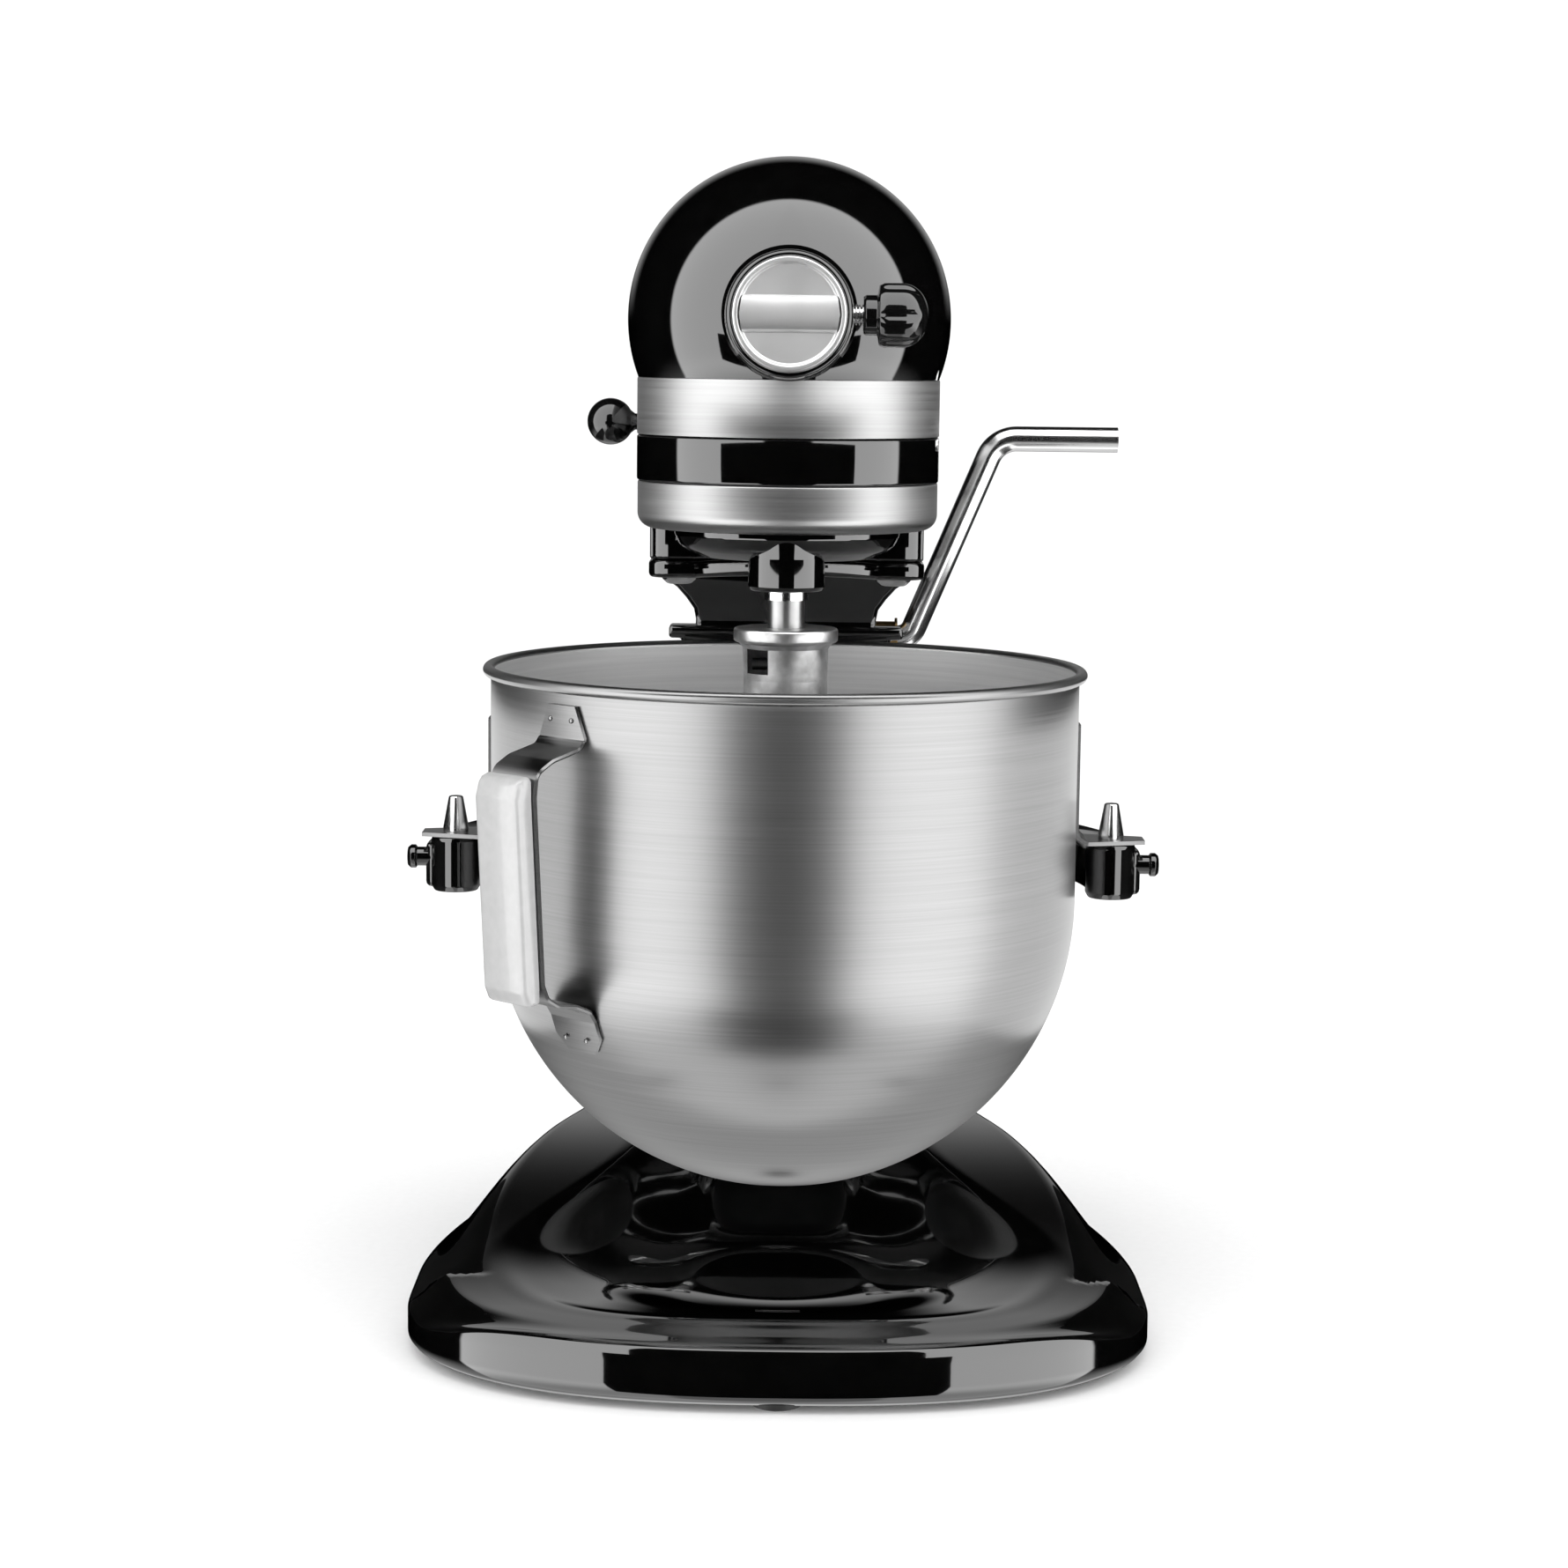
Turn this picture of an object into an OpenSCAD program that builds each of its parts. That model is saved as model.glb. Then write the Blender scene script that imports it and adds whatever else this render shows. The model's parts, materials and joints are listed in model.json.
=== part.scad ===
// Bowl-lift stand mixer, as an assembly of separate parts.
// Origin: on the table under the mixing axis. Front is -Y, up is +Z, sizes in millimetres.

/* [Head] */
// Radius of the rounded head
head_r = 56.2; // [55:0.1:57]
// Height of the head's long axis
head_z = 349; // [348:0.5:350]
// Half width of the trim band and of the skirt below it
trim_r = 52.8; // [52.4:0.1:53]
// Wall thickness of the head shells
shell_t = 3; // [2.5:0.1:3.2]

/* [Bowl] */
// Outer radius of the bowl
bowl_r = 103.5; // [103:0.1:103.6]
// Thickness of the bowl's sheet
bowl_t = 1.2; // [1:0.1:1.4]
// Height of the bowl's rim
rim_z = 228.7; // [228:0.1:229]

/* [Base] */
// Largest half width of the base
base_w = 127.5; // [126:0.5:129]
// Wall thickness of the cast base
base_t = 5; // [4:0.5:6]

/* [Gears] */
// Teeth of the fixed ring gear
ring_teeth = 54; // [54]
// Teeth of the planet pinion
pinion_teeth = 14; // [14]
// Module of the ring gear and planet pinion
gear_module = 1.25; // [1.25]

/* [Hidden] */
$fn = 64;

// Small working gap between parts that move past each other
gap = 0.3;
// Radial clearance of a running fit
fit = 0.05;

// Heights of the head's bands
band_top = 329;
band_bottom = 309;
skirt_bottom = 293.2;
cup_bottom = 276.7;
flange_top = 263.4;
flange_bottom = 257;
// Depth positions in the head
taper_y = 30;
cover_y = 158;
head_end = 196;
end_r = 26;
// Radius of the long arc that tapers the head, and of the one that tapers its skirt
taper_r = 1050;
skirt_taper_r = 979;
// Hub and thumb screw
hub_z = 350.3;
hub_r = 20.8;
hub_front = -79.5;
screw_y = -72;
// Gear train
cross_z = 333;
motor_z = 355;
crown_top = 322.7;
orbit = gear_module * (ring_teeth - pinion_teeth) / 2;
ring_z = 280;
ring_h = 9;
// Shafts
beater_d = 12.7;
centre_d = 12;
boss_r = 13.2;
boss_bottom = 256.6;
beater_flange_z = 239.2;
// Bowl
bowl_axis_z = 147;
foot_r = 28;
roll_r = 2.6;
// Bowl handle
handle_turn = -45;
handle_w = 23;
// Yoke
pin_x = 116.2;
yoke_top = 233.2;
plate_y = 110.5;
column_y = 122.5;
column_back = 182;
slide_travel = 25;
screw_z = 74;
// Lift handle
rod_d = 9.8;
cap_r = 6.6;
rod_y = 146;
rod_z = 226.5;
bush_r = 6.4;
crank_l = slide_travel / (2 * sin(60));
crank_x = 2.5;
crank_end = 9.5;
// Base outline and surface
base_front = -140;
nose_y = -45;
base_end = 198;
rear_w = 97.5;
base_floor = 2.2;
tray_low = 8.4;
pad_z = 44;
outline_steps = 72;

// ---------- helpers ----------

// Cylinder along X from x0 to x1
module bar_x(r, x0, x1, y = 0, z = 0) {
    translate([x0, y, z]) rotate([0, 90, 0]) cylinder(r = r, h = x1 - x0);
}

// Cylinder along Y from y0 to y1
module bar_y(r, y0, y1, x = 0, z = 0) {
    translate([x, y0, z]) rotate([-90, 0, 0]) cylinder(r = r, h = y1 - y0);
}

// Cylinder along Z from z0 to z1
module bar_z(r, z0, z1, x = 0, y = 0) {
    translate([x, y, z0]) cylinder(r = r, h = z1 - z0);
}

// Box from one corner to the opposite one
module block(low, high) {
    translate(low) cube(high - low);
}

// Box with its upright edges rounded by arcs
module pillar(low, high, r) {
    size = high - low;
    translate(low) linear_extrude(size[2]) rounded_rect(size[0], size[1], r);
}

module rounded_rect(w, d, r) {
    translate([r, 0]) square([w - 2 * r, d]);
    translate([0, r]) square([w, d - 2 * r]);
    for (x = [r, w - r], y = [r, d - r]) translate([x, y]) circle(r = r);
}

// Copies its children at +x and -x
module both_sides() {
    children();
    mirror([1, 0, 0]) children();
}

// Gear outline with plain straight-sided teeth: n teeth, root, tip and tooth half angles
function gear_points(n, root, tip, wide, narrow) =
    [for (i = [0:n - 1], p = [[root, -wide], [tip, -narrow], [tip, narrow], [root, wide]])
        let (a = 360 * i / n + p[1]) [p[0] * cos(a), p[0] * sin(a)]];

// ---------- head outlines ----------

// Solid of revolution about the head's long axis, made smaller all round by t
module head_solid(t) {
    translate([0, 0, head_z]) rotate([-90, 0, 0]) rotate_extrude($fn = 96) head_profile(t);
}

// Half outline of the head: round nose, straight, long taper and rounded end
module head_profile(t) {
    intersection() {
        union() {
            circle(r = head_r - t, $fn = 96);
            square([head_r - t, taper_y]);
            intersection() {
                translate([head_r - taper_r, taper_y]) circle(r = taper_r - t, $fn = 720);
                translate([0, taper_y]) square([head_r + 1, cover_y + 12 - taper_y]);
            }
            translate([head_end_r() - end_r, cover_y + 12]) circle(r = end_r - t);
            translate([0, cover_y + 11]) square([head_end_r() - end_r, head_end - t - cover_y - 11]);
        }
        translate([0, -head_r - 1]) square([head_r + 1, head_end + head_r + 2]);
    }
}

// Radius of the head where its rear end starts to round off
function head_end_r() = head_r - taper_r + sqrt(pow(taper_r, 2) - pow(cover_y + 12 - taper_y, 2));

// Plan of the head's skirt, made smaller all round by t
module skirt_plan(t) {
    intersection() {
        union() {
            circle(r = trim_r - t, $fn = 96);
            translate([-trim_r + t, 0]) square([2 * (trim_r - t), taper_y]);
            intersection() {
                translate([trim_r - skirt_taper_r, taper_y]) circle(r = skirt_taper_r - t, $fn = 720);
                translate([skirt_taper_r - trim_r, taper_y]) circle(r = skirt_taper_r - t, $fn = 720);
                translate([-head_r, taper_y]) square([2 * head_r, cover_y + 12 - taper_y]);
            }
            rear_corner(t);
            mirror([1, 0]) rear_corner(t);
        }
        translate([-trim_r - 1, -trim_r - 1]) square([2 * trim_r + 2, head_end + trim_r + 2]);
    }
}

// One rounded rear corner of the skirt
module rear_corner(t) {
    r = end_r + 0.4;
    x = 43.2 - r;
    translate([x, cover_y + 12]) circle(r = r - t);
    translate([-1, cover_y + 9]) square([x + 1, r - t + 3]);
}

// Upright wall or slab that follows the skirt's plan
module skirt_slab(z0, z1, t) {
    translate([0, 0, z0]) linear_extrude(z1 - z0) skirt_plan(t);
}

// Thin shell of the head between two depths: rounded top, and the straight skirt that it stands on
module head_shell(y0, y1) {
    intersection() {
        translate([0, 0, head_z]) rotate([-90, 0, 0]) rotate_extrude($fn = 96) difference() {
            head_profile(0);
            head_profile(shell_t);
        }
        block([-head_r - 5, y0, band_top], [head_r + 5, y1, head_z + head_r + 5]);
    }
    intersection() {
        translate([0, 0, skirt_bottom]) linear_extrude(band_top - skirt_bottom) difference() {
            skirt_plan(0);
            skirt_plan(shell_t);
        }
        block([-head_r - 5, y0, skirt_bottom - 1], [head_r + 5, y1, band_top + 1]);
    }
}

// ---------- base surface ----------

function smooth_step(a, b, x) = let (t = min(1, max(0, (x - a) / (b - a)))) t * t * (3 - 2 * t);

// Half width of the base at depth y behind its widest place
function base_half(y) = base_w - (base_w - rear_w) * smooth_step(-20, 180, y);

// Signed power, which makes the outline a superellipse
function spow(v, e) = sign(v) * pow(abs(v), e);

// Point of the base's outline at an angle: a blunt superellipse in front and a boxier one behind
function outline(a) =
    let (c = cos(a), s = sin(a))
    s < 0 ? [base_w * spow(c, 0.8), nose_y - (nose_y - base_front) * pow(-s, 0.8)]
          : let (y = nose_y + (base_end - nose_y) * pow(s, 0.55)) [base_half(y) * spow(c, 0.36), y];

// Centre from which the base's surface is measured out to its edge
base_mid = [0, 20];

// Height of the outer wall's top edge: taller in front than at the sides
function wall_top(y) = 12 + 8 * smooth_step(-85, -128, y);

// Depth of the tray under the bowl at a point: 1 inside, 0 outside
function tray(x, y) =
    let (w = 95 - 38 * smooth_step(-60, 60, y),
         d = pow(pow(abs(x) / w, 3) + pow(abs(y + 22) / (y < -22 ? 84 : 120), 3), 1 / 3))
    1 - smooth_step(0.4, 1.12, d);

// Height of the base's top away from its edge, before the tray is taken out
function deck(x, y) =
    21.5 + 22.5 * smooth_step(-95, 95, y) - 4 * smooth_step(60, 125, abs(x)) * smooth_step(-60, 40, y);

// Share of the flat pad under the column at a point: 1 under it, 0 well away from it
function pad_share(x, y) =
    1 - smooth_step(0, 1, norm([max(abs(x) - 50, 0) / 34, max(y - 184, 0) / 12, max(122 - y, 0) / 24]));

// Height of the base's top at a point that lies the share k from the middle to the edge
function base_top(x, y, k) =
    let (edge = smooth_step(1, y < -60 ? 0.9 : 0.72, k),
         round_in = sqrt(max(0, 1 - pow(1 - min(1, (1 - k) / 0.025), 2))),
         rim = wall_top(y) + 2 * round_in,
         open = rim + (deck(x, y) - rim) * edge,
         full = open + (pad_z - open) * pad_share(x, y),
         dish = tray_low + 6 * smooth_step(30, 90, norm([x, y])))
    full + (min(full, dish) - full) * tray(x, y);

// Shares of the way from the middle to the edge at which the surface has rings
top_rings = [1, 0.997, 0.99, 0.975, 0.955, 0.93, 0.9, 0.86, 0.82, 0.78, 0.73, 0.68, 0.62, 0.55,
             0.47, 0.38, 0.28, 0.16, 0.06];
under_rings = [0.86, 0.82, 0.74, 0.64, 0.5, 0.34, 0.16];

function ring_xy(k) = [for (i = [0:outline_steps - 1])
    let (p = outline(360 * i / outline_steps)) base_mid + (p - base_mid) * k];

function top_ring(k) = [for (p = ring_xy(k)) [p[0], p[1], base_top(p[0], p[1], k)]];
function flat_ring(k, z) = [for (p = ring_xy(k)) [p[0], p[1], z]];
function under_ring(k) = [for (p = ring_xy(k)) [p[0], p[1], base_top(p[0], p[1], k) - base_t]];

// Closed surface through a list of rings of equal length, capped by a point at each end
module ring_skin(rings, first, last) {
    n = len(rings[0]);
    count = len(rings);
    points = concat([first], [for (r = rings, p = r) p], [last]);
    tail = n * count + 1;
    faces = concat(
        [for (i = [0:n - 1]) [0, 1 + i, 1 + (i + 1) % n]],
        [for (j = [0:count - 2], i = [0:n - 1])
            let (a = 1 + j * n + i, b = 1 + j * n + (i + 1) % n) [a, a + n, b]],
        [for (j = [0:count - 2], i = [0:n - 1])
            let (a = 1 + j * n + i, b = 1 + j * n + (i + 1) % n) [b, a + n, b + n]],
        [for (i = [0:n - 1]) let (a = tail - n) [a + i, tail, a + (i + 1) % n]]);
    polyhedron(points = points, faces = faces, convexity = 6);
}

module base_casting() {
    m = base_mid;
    mid_z = base_top(m[0], m[1], 0);
    rings = concat([for (i = [len(top_rings) - 1:-1:0]) top_ring(top_rings[i])],
                   [flat_ring(1, base_floor), flat_ring(0.86, base_floor)],
                   [for (k = under_rings) under_ring(k)]);
    color("#0b0b0c") ring_skin(rings, [m[0], m[1], mid_z], [m[0], m[1], mid_z - base_t]);
}

// Places of the five feet under the base's edge; a sixth stands under the middle of the tray
foot_spots = [[-99, -88], [99, -88], [-86, 150], [86, 150], [0, -128]];
rubber_r = 8;

module rubber_feet() {
    color("#1c1c1d") {
        for (p = foot_spots) bar_z(rubber_r, 0, base_floor, p[0], p[1]);
        bar_z(rubber_r, 0, tray_low - base_t);
    }
}

// ---------- column ----------

// Front silhouette of the column, drawn with X across and Y up
module column_front() {
    neck_z = 238;
    neck_w = 35;
    flare = 14;
    shoulder_z = 233.4;
    trunk_w = 43;
    shoulder_r = 5;
    difference() {
        translate([-neck_w - flare, shoulder_z - 1]) square([2 * (neck_w + flare), flange_bottom - shoulder_z + 1]);
        both_sides() {
            translate([neck_w + flare, neck_z]) circle(r = flare);
            translate([neck_w, shoulder_z - 2]) square([2 * flare, neck_z - shoulder_z + 2]);
        }
    }
    translate([-trunk_w, pad_z]) square([2 * trunk_w, shoulder_z - shoulder_r - pad_z]);
    translate([shoulder_r - trunk_w, pad_z]) square([2 * (trunk_w - shoulder_r), shoulder_z - pad_z]);
    both_sides() translate([trunk_w - shoulder_r, shoulder_z - shoulder_r]) circle(r = shoulder_r);
    both_sides() difference() {
        translate([trunk_w - 2, pad_z]) square([14, 12]);
        translate([trunk_w + 12, pad_z + 14]) circle(r = 12);
    }
}

module column_casting() {
    wall = 6;
    inner = 31;
    color("#0b0b0c") difference() {
        union() {
            intersection() {
                translate([0, column_back, 0]) rotate([90, 0, 0])
                    linear_extrude(column_back - column_y) column_front();
                pillar([-58, column_y, pad_z], [58, column_back, flange_bottom], 8);
            }
            intersection() {
                skirt_slab(flange_bottom, flange_top, 3);
                block([-60, 46, flange_bottom], [60, column_back, flange_top]);
            }
            // Corbel that carries the flange forward
            block([-26, 96, flange_bottom - 12], [26, column_y + 1, flange_bottom + 1]);
        }
        // Hollow inside
        pillar([-inner, column_y + wall, pad_z + 8], [inner, column_back - wall, flange_bottom - 4], 5);
        // Slot in the front wall for the slide
        block([-16.5, column_y - 1, 94], [16.5, column_y + wall + 1, 250]);
        // Bore for the lift shaft's bushings
        bar_x(bush_r + fit, 20, 60, rod_y, rod_z);
        // Holes for the head screws
        for (p = head_screw_spots) bar_z(3.6, flange_bottom - 20, flange_top + 1, p[0], p[1]);
        // Tapped holes for the screws from below
        for (p = column_screw_spots) bar_z(3.1, pad_z - 1, pad_z + 20, p[0], p[1]);
        bar_y(3.1, column_y - 1, column_y + wall + 1, 0, screw_z);
    }
    // Web that carries the inner bushing
    color("#0b0b0c") difference() {
        block([14, rod_y - 14, rod_z - 22], [22, column_back - wall + 1, rod_z + 14]);
        bar_x(bush_r + fit, 13, 23, rod_y, rod_z);
    }
}

column_screw_spots = [[-36, 132], [36, 132], [-36, 174], [36, 174]];
head_screw_spots = [[-39.3, 60], [39.3, 60], [-36, 112], [36, 112]];

module column_screws() {
    color("#9a9ca0") for (p = column_screw_spots) {
        bar_z(3, pad_z - base_t - 1, pad_z + 18, p[0], p[1]);
        bar_z(6, pad_z - base_t - 4.4, pad_z - base_t - 0.2, p[0], p[1]);
    }
}

module head_screws() {
    head_h = 4.6;
    color("#d8d9db") for (p = head_screw_spots) {
        bar_z(3.5, flange_bottom - 1, flange_top + 14, p[0], p[1]);
        difference() {
            translate([p[0], p[1], flange_bottom]) intersection() {
                translate([0, 0, 4.4]) sphere(r = 8.2);
                translate([0, 0, -head_h]) cylinder(r = 6.9, h = head_h - 0.05);
            }
            block([p[0] - 7, p[1] - 0.8, flange_bottom - 5], [p[0] + 7, p[1] + 0.8, flange_bottom - 2.6]);
        }
    }
}

// ---------- head shells ----------

module gearcase_lower() {
    plate_top = 299;
    color("#101011") difference() {
        union() {
            // Deep rear part behind the drip cup
            difference() {
                intersection() {
                    skirt_slab(flange_top, skirt_bottom + 1, 3.6);
                    block([-60, 20, flange_top], [60, 190, skirt_bottom + 1]);
                }
                bar_z(trim_r + gap, flange_top - 1, skirt_bottom, 0, 0);
                intersection() {
                    skirt_slab(flange_top + 4, skirt_bottom + 2, 8);
                    block([-60, 92, flange_top], [60, 178, skirt_bottom + 2]);
                }
            }
            // Plate across the head that carries the gears
            difference() {
                skirt_slab(skirt_bottom, plate_top, shell_t + gap);
                block([-34, 96, skirt_bottom - 1], [34, 150, plate_top + 1]);
            }
            bar_z(14, skirt_bottom, 308.5);
            // Neck that reaches down to the ring gear
            bar_z(39, ring_z + ring_h, skirt_bottom + 1);
        }
        bar_z(centre_d / 2 + 3, 280, 320);
        bar_z(36, 280, skirt_bottom - 0.5);
        for (p = head_screw_spots) bar_z(3.5 + fit, flange_top - 1, flange_top + 15, p[0], p[1]);
        bar_y(5.5, 176, 192, 18, 277);
    }
}

module head_housing() {
    lever_y = [44, 108];
    color("#0b0b0c") difference() {
        head_shell(-head_r - 5, cover_y);
        // Recess for the trim band
        difference() {
            block([-60, -60, band_bottom], [60, cover_y + 5, band_top]);
            skirt_slab(band_bottom - 1, band_top + 1, 1.25);
        }
        // Seat of the hub
        bar_y(hub_r + fit, -60, -30, 0, hub_z);
        // Slot of the speed lever
        block([-60, lever_y[0], 310], [-40, lever_y[1], 313.6]);
        // Brush holder openings
        bar_x(cap_r + 0.2, -60, 60, 151, motor_z);
    }
}

module rear_cover() {
    vents = 9;
    color("#0b0b0c") difference() {
        head_shell(cover_y + 0.2, head_end + 5);
        // Cooling slots
        for (i = [0:vents - 1]) {
            z = 306 + 6 * i;
            half = i < 6 ? 22 : 22 - 4 * (i - 5);
            block([-half, head_end - 12, z], [half, head_end + 2, z + 2.6]);
        }
        bar_y(2.2, head_end - 12, head_end + 2, 0, 384);
    }
    // Post that the cover's screw goes into
    color("#0b0b0c") difference() {
        bar_y(4.5, 174, head_end - 2, 0, 384);
        bar_y(2.05, 172, head_end, 0, 384);
    }
}

module rear_cover_screw() {
    color("#d8d9db") difference() {
        union() {
            bar_y(2, 176, head_end + 0.2, 0, 384);
            bar_y(4.2, head_end + 0.05, head_end + 2, 0, 384);
        }
        block([-5, head_end + 1.2, 383.5], [5, head_end + 3, 384.5]);
    }
}

module trim_band() {
    color("#c9cacb") difference() {
        skirt_slab(band_bottom + 0.1, band_top - 0.1, 0);
        skirt_slab(band_bottom - 1, band_top + 1, 1.2);
        block([-60, cover_y - 0.2, band_bottom - 1], [60, 220, band_top + 1]);
        block([-60, 44, 310], [-40, 108, 313.6]);
    }
}

module attachment_hub() {
    color("#0b0b0c") difference() {
        bar_y(hub_r, hub_front, -46, 0, hub_z);
        bar_y(16, hub_front - 1, -56, 0, hub_z);
        bar_y(7.4, -60, -40, 0, hub_z);
        bar_x(3.25, 10, hub_r + 5, screw_y, hub_z);
    }
}

module drip_cup() {
    t = 1.5;
    corner = 8;
    lip = 41.5;
    outer_r = trim_r - 0.3;
    color("#b9babb") rotate_extrude($fn = 96) difference() {
        union() {
            translate([lip, cup_bottom + corner]) square([outer_r - lip, skirt_bottom - 0.1 - cup_bottom - corner]);
            translate([lip, cup_bottom]) square([outer_r - corner - lip, corner + 1]);
            intersection() {
                translate([outer_r - corner, cup_bottom + corner]) circle(r = corner);
                translate([outer_r - corner, cup_bottom]) square([corner, corner + 1]);
            }
        }
        translate([lip - 1, cup_bottom + corner])
            square([outer_r - lip - t + 1, skirt_bottom - cup_bottom]);
        translate([lip + t, cup_bottom + t]) square([outer_r - corner - lip - t, corner + 1]);
        translate([outer_r - corner, cup_bottom + corner]) circle(r = corner - t);
    }
}

// ---------- gears and shafts ----------

module ring_gear() {
    pitch = gear_module * ring_teeth / 2;
    tooth = 360 / ring_teeth / 4;
    color("#8b8d90") translate([0, 0, ring_z]) difference() {
        cylinder(r = 39, h = ring_h);
        translate([0, 0, -1]) linear_extrude(ring_h + 2)
            polygon(gear_points(ring_teeth, pitch - 1.1, pitch + 1.5, tooth * 1.45, tooth * 0.75));
    }
}

module planet_pinion() {
    pitch = gear_module * pinion_teeth / 2;
    tooth = 360 / pinion_teeth / 4;
    color("#a4a6a9") translate([0, -orbit, ring_z]) difference() {
        linear_extrude(ring_h - 0.6) rotate(90 + 180 / pinion_teeth)
            polygon(gear_points(pinion_teeth, pitch - 1.5, pitch + 1.05, tooth * 1.25, tooth * 0.5));
        translate([0, 0, -1]) cylinder(d = beater_d, h = ring_h + 2);
    }
}

module centre_bush() {
    color("#b08d57") difference() {
        bar_z(centre_d / 2 + 3, 293.8, 308);
        bar_z(centre_d / 2 + fit, 290, 310);
    }
}

module centre_shaft() {
    color("#c3c5c8") difference() {
        bar_z(centre_d / 2, 267, 314.6);
        bar_x(2, -20, 20, 0, 274);
    }
}

module crown_gear() {
    teeth = 36;
    color("#a4a6a9") difference() {
        union() {
            bar_z(30, 309, 315);
            difference() {
                bar_z(30, 314, crown_top);
                bar_z(21.5, 313, crown_top + 1);
            }
        }
        bar_z(centre_d / 2, 300, 320);
        for (i = [0:teeth - 1]) rotate(360 * i / teeth)
            block([20, -1.25, crown_top - 2.6], [31, 1.25, crown_top + 1]);
    }
}

// Flat gear about the Z axis with a bore, used for the small gears
module small_gear(teeth, tip, depth, width, bore) {
    tooth = 360 / teeth / 4;
    difference() {
        linear_extrude(width) polygon(gear_points(teeth, tip - depth, tip, tooth * 1.3, tooth * 0.6));
        translate([0, 0, -1]) cylinder(r = bore, h = width + 2);
    }
}

module cross_shaft() {
    color("#c3c5c8") bar_x(4, -17, 32, 0, cross_z);
}

module worm_wheel() {
    color("#b08d57") translate([-4, 0, cross_z]) rotate([0, 90, 0]) small_gear(30, 15.8, 2.2, 8, 4);
}

module bevel_pinion() {
    color("#a4a6a9") translate([21.5, 0, cross_z]) rotate([0, 90, 0]) small_gear(12, 10, 2.6, 8, 4);
}

module gear_bracket() {
    color("#8f9194") difference() {
        union() {
            block([-22, 32, 299], [22, 38, 362]);
            bar_y(15, 32, 38, 0, motor_z);
            block([-15.5, -7, 327], [-9, 33, 339]);
            block([9, -7, 327], [15.5, 33, 339]);
        }
        bar_x(4 + fit, -20, 20, 0, cross_z);
        bar_y(10, 30, 40, 0, motor_z);
    }
}

module front_bearing() {
    color("#c9cacc") difference() {
        bar_y(10, 32.2, 37.8, 0, motor_z);
        bar_y(4.5 + fit, 30, 40, 0, motor_z);
    }
}

module rear_bearing() {
    color("#c9cacc") difference() {
        union() {
            bar_y(10, 160.5, 166, 0, motor_z);
            block([-34, 162, motor_z - 5], [34, 165, motor_z + 5]);
        }
        bar_y(4.5 + fit, 158, 168, 0, motor_z);
    }
}

module armature_shaft() {
    pitch = 3.4;
    color("#b7b9bc") {
        bar_y(4.5, -12, 169, 0, motor_z);
        // Worm thread, drawn as a row of collars
        for (i = [-3:3]) translate([0, i * pitch, motor_z]) rotate([-90, 0, 0]) {
            translate([0, 0, -0.9]) cylinder(r1 = 4.2, r2 = 5.9, h = 0.9);
            cylinder(r1 = 5.9, r2 = 4.2, h = 0.9);
        }
    }
}

module armature_core() {
    slots = 12;
    color("#77797c") difference() {
        bar_y(25.3, 100, 138, 0, motor_z);
        bar_y(4.5, 90, 150, 0, motor_z);
        for (i = [0:slots - 1]) translate([0, 0, motor_z]) rotate([0, 360 * i / slots, 0])
            block([18, 99, -1.6], [27, 139, 1.6]);
    }
}

module commutator() {
    bars = 24;
    color("#b87333") difference() {
        bar_y(12, 143, 157, 0, motor_z);
        bar_y(4.5, 140, 160, 0, motor_z);
        for (i = [0:bars - 1]) translate([0, 0, motor_z]) rotate([0, 360 * i / bars, 0])
            block([11.2, 142, -0.3], [13, 158, 0.3]);
    }
}

module cooling_fan() {
    blades = 10;
    color("#3a3b3d") difference() {
        union() {
            bar_y(12, 84, 96, 0, motor_z);
            bar_y(32, 94.4, 96, 0, motor_z);
            for (i = [0:blades - 1]) translate([0, 0, motor_z]) rotate([0, 360 * i / blades, 0])
                block([11, 84, -0.8], [32, 95, 0.8]);
        }
        bar_y(4.5, 80, 98, 0, motor_z);
    }
}

module motor_stator() {
    color("#5d5f62") difference() {
        bar_y(38, 100, 138, 0, motor_z);
        bar_y(26.2, 98, 140, 0, motor_z);
        for (s = [-1, 1]) block([-26, 98, motor_z + s * 20.2 - 3.4], [26, 140, motor_z + s * 20.2 + 3.4]);
    }
}

module field_coils() {
    color("#a5541f") for (s = [-1, 1]) difference() {
        block([-26, 98.5, motor_z + s * 20.2 - 3.4], [26, 139.5, motor_z + s * 20.2 + 3.4]);
        bar_y(26.3, 98, 140, 0, motor_z);
    }
}

module brush_holders() {
    color("#6d4c2f") both_sides() difference() {
        union() {
            bar_x(6.5, 14, 43, 151, motor_z);
            block([16, 145, motor_z - 10], [24, 157, motor_z - 5]);
        }
        bar_x(3.2, 11, 50, 151, motor_z);
    }
}

module brush_caps() {
    color("#141415") both_sides() difference() {
        union() {
            bar_x(cap_r, 44, 50.8, 151, motor_z);
            bar_x(3, 34, 45, 151, motor_z);
        }
        block([50, 143, motor_z - 0.9], [52, 159, motor_z + 0.9]);
    }
}

module control_board() {
    color("#2f5d3a") difference() {
        bar_y(34, 170, 172, 0, 340);
        block([-40, 168, 300], [40, 174, 318]);
    }
    color("#333436") {
        block([-24, 172, 322], [-8, 182, 336]);
        bar_y(6, 172, 186, 12, 332);
        block([-4, 172, 344], [16, 178, 352]);
    }
}

module cord_gland() {
    color("#18181a") difference() {
        union() {
            bar_y(5.4, 178, 193.5, 18, 277);
            bar_y(7.5, 190.1, 193.5, 18, 277);
        }
        bar_y(3.4, 170, 200, 18, 277);
    }
}

// ---------- attachment hub drive ----------

module hub_shaft() {
    color("#b7b9bc") difference() {
        bar_y(7.35, -55.5, -20, 0, hub_z);
        block([-4.7, -60, hub_z - 4.7], [4.7, -34, hub_z + 4.7]);
    }
}

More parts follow.
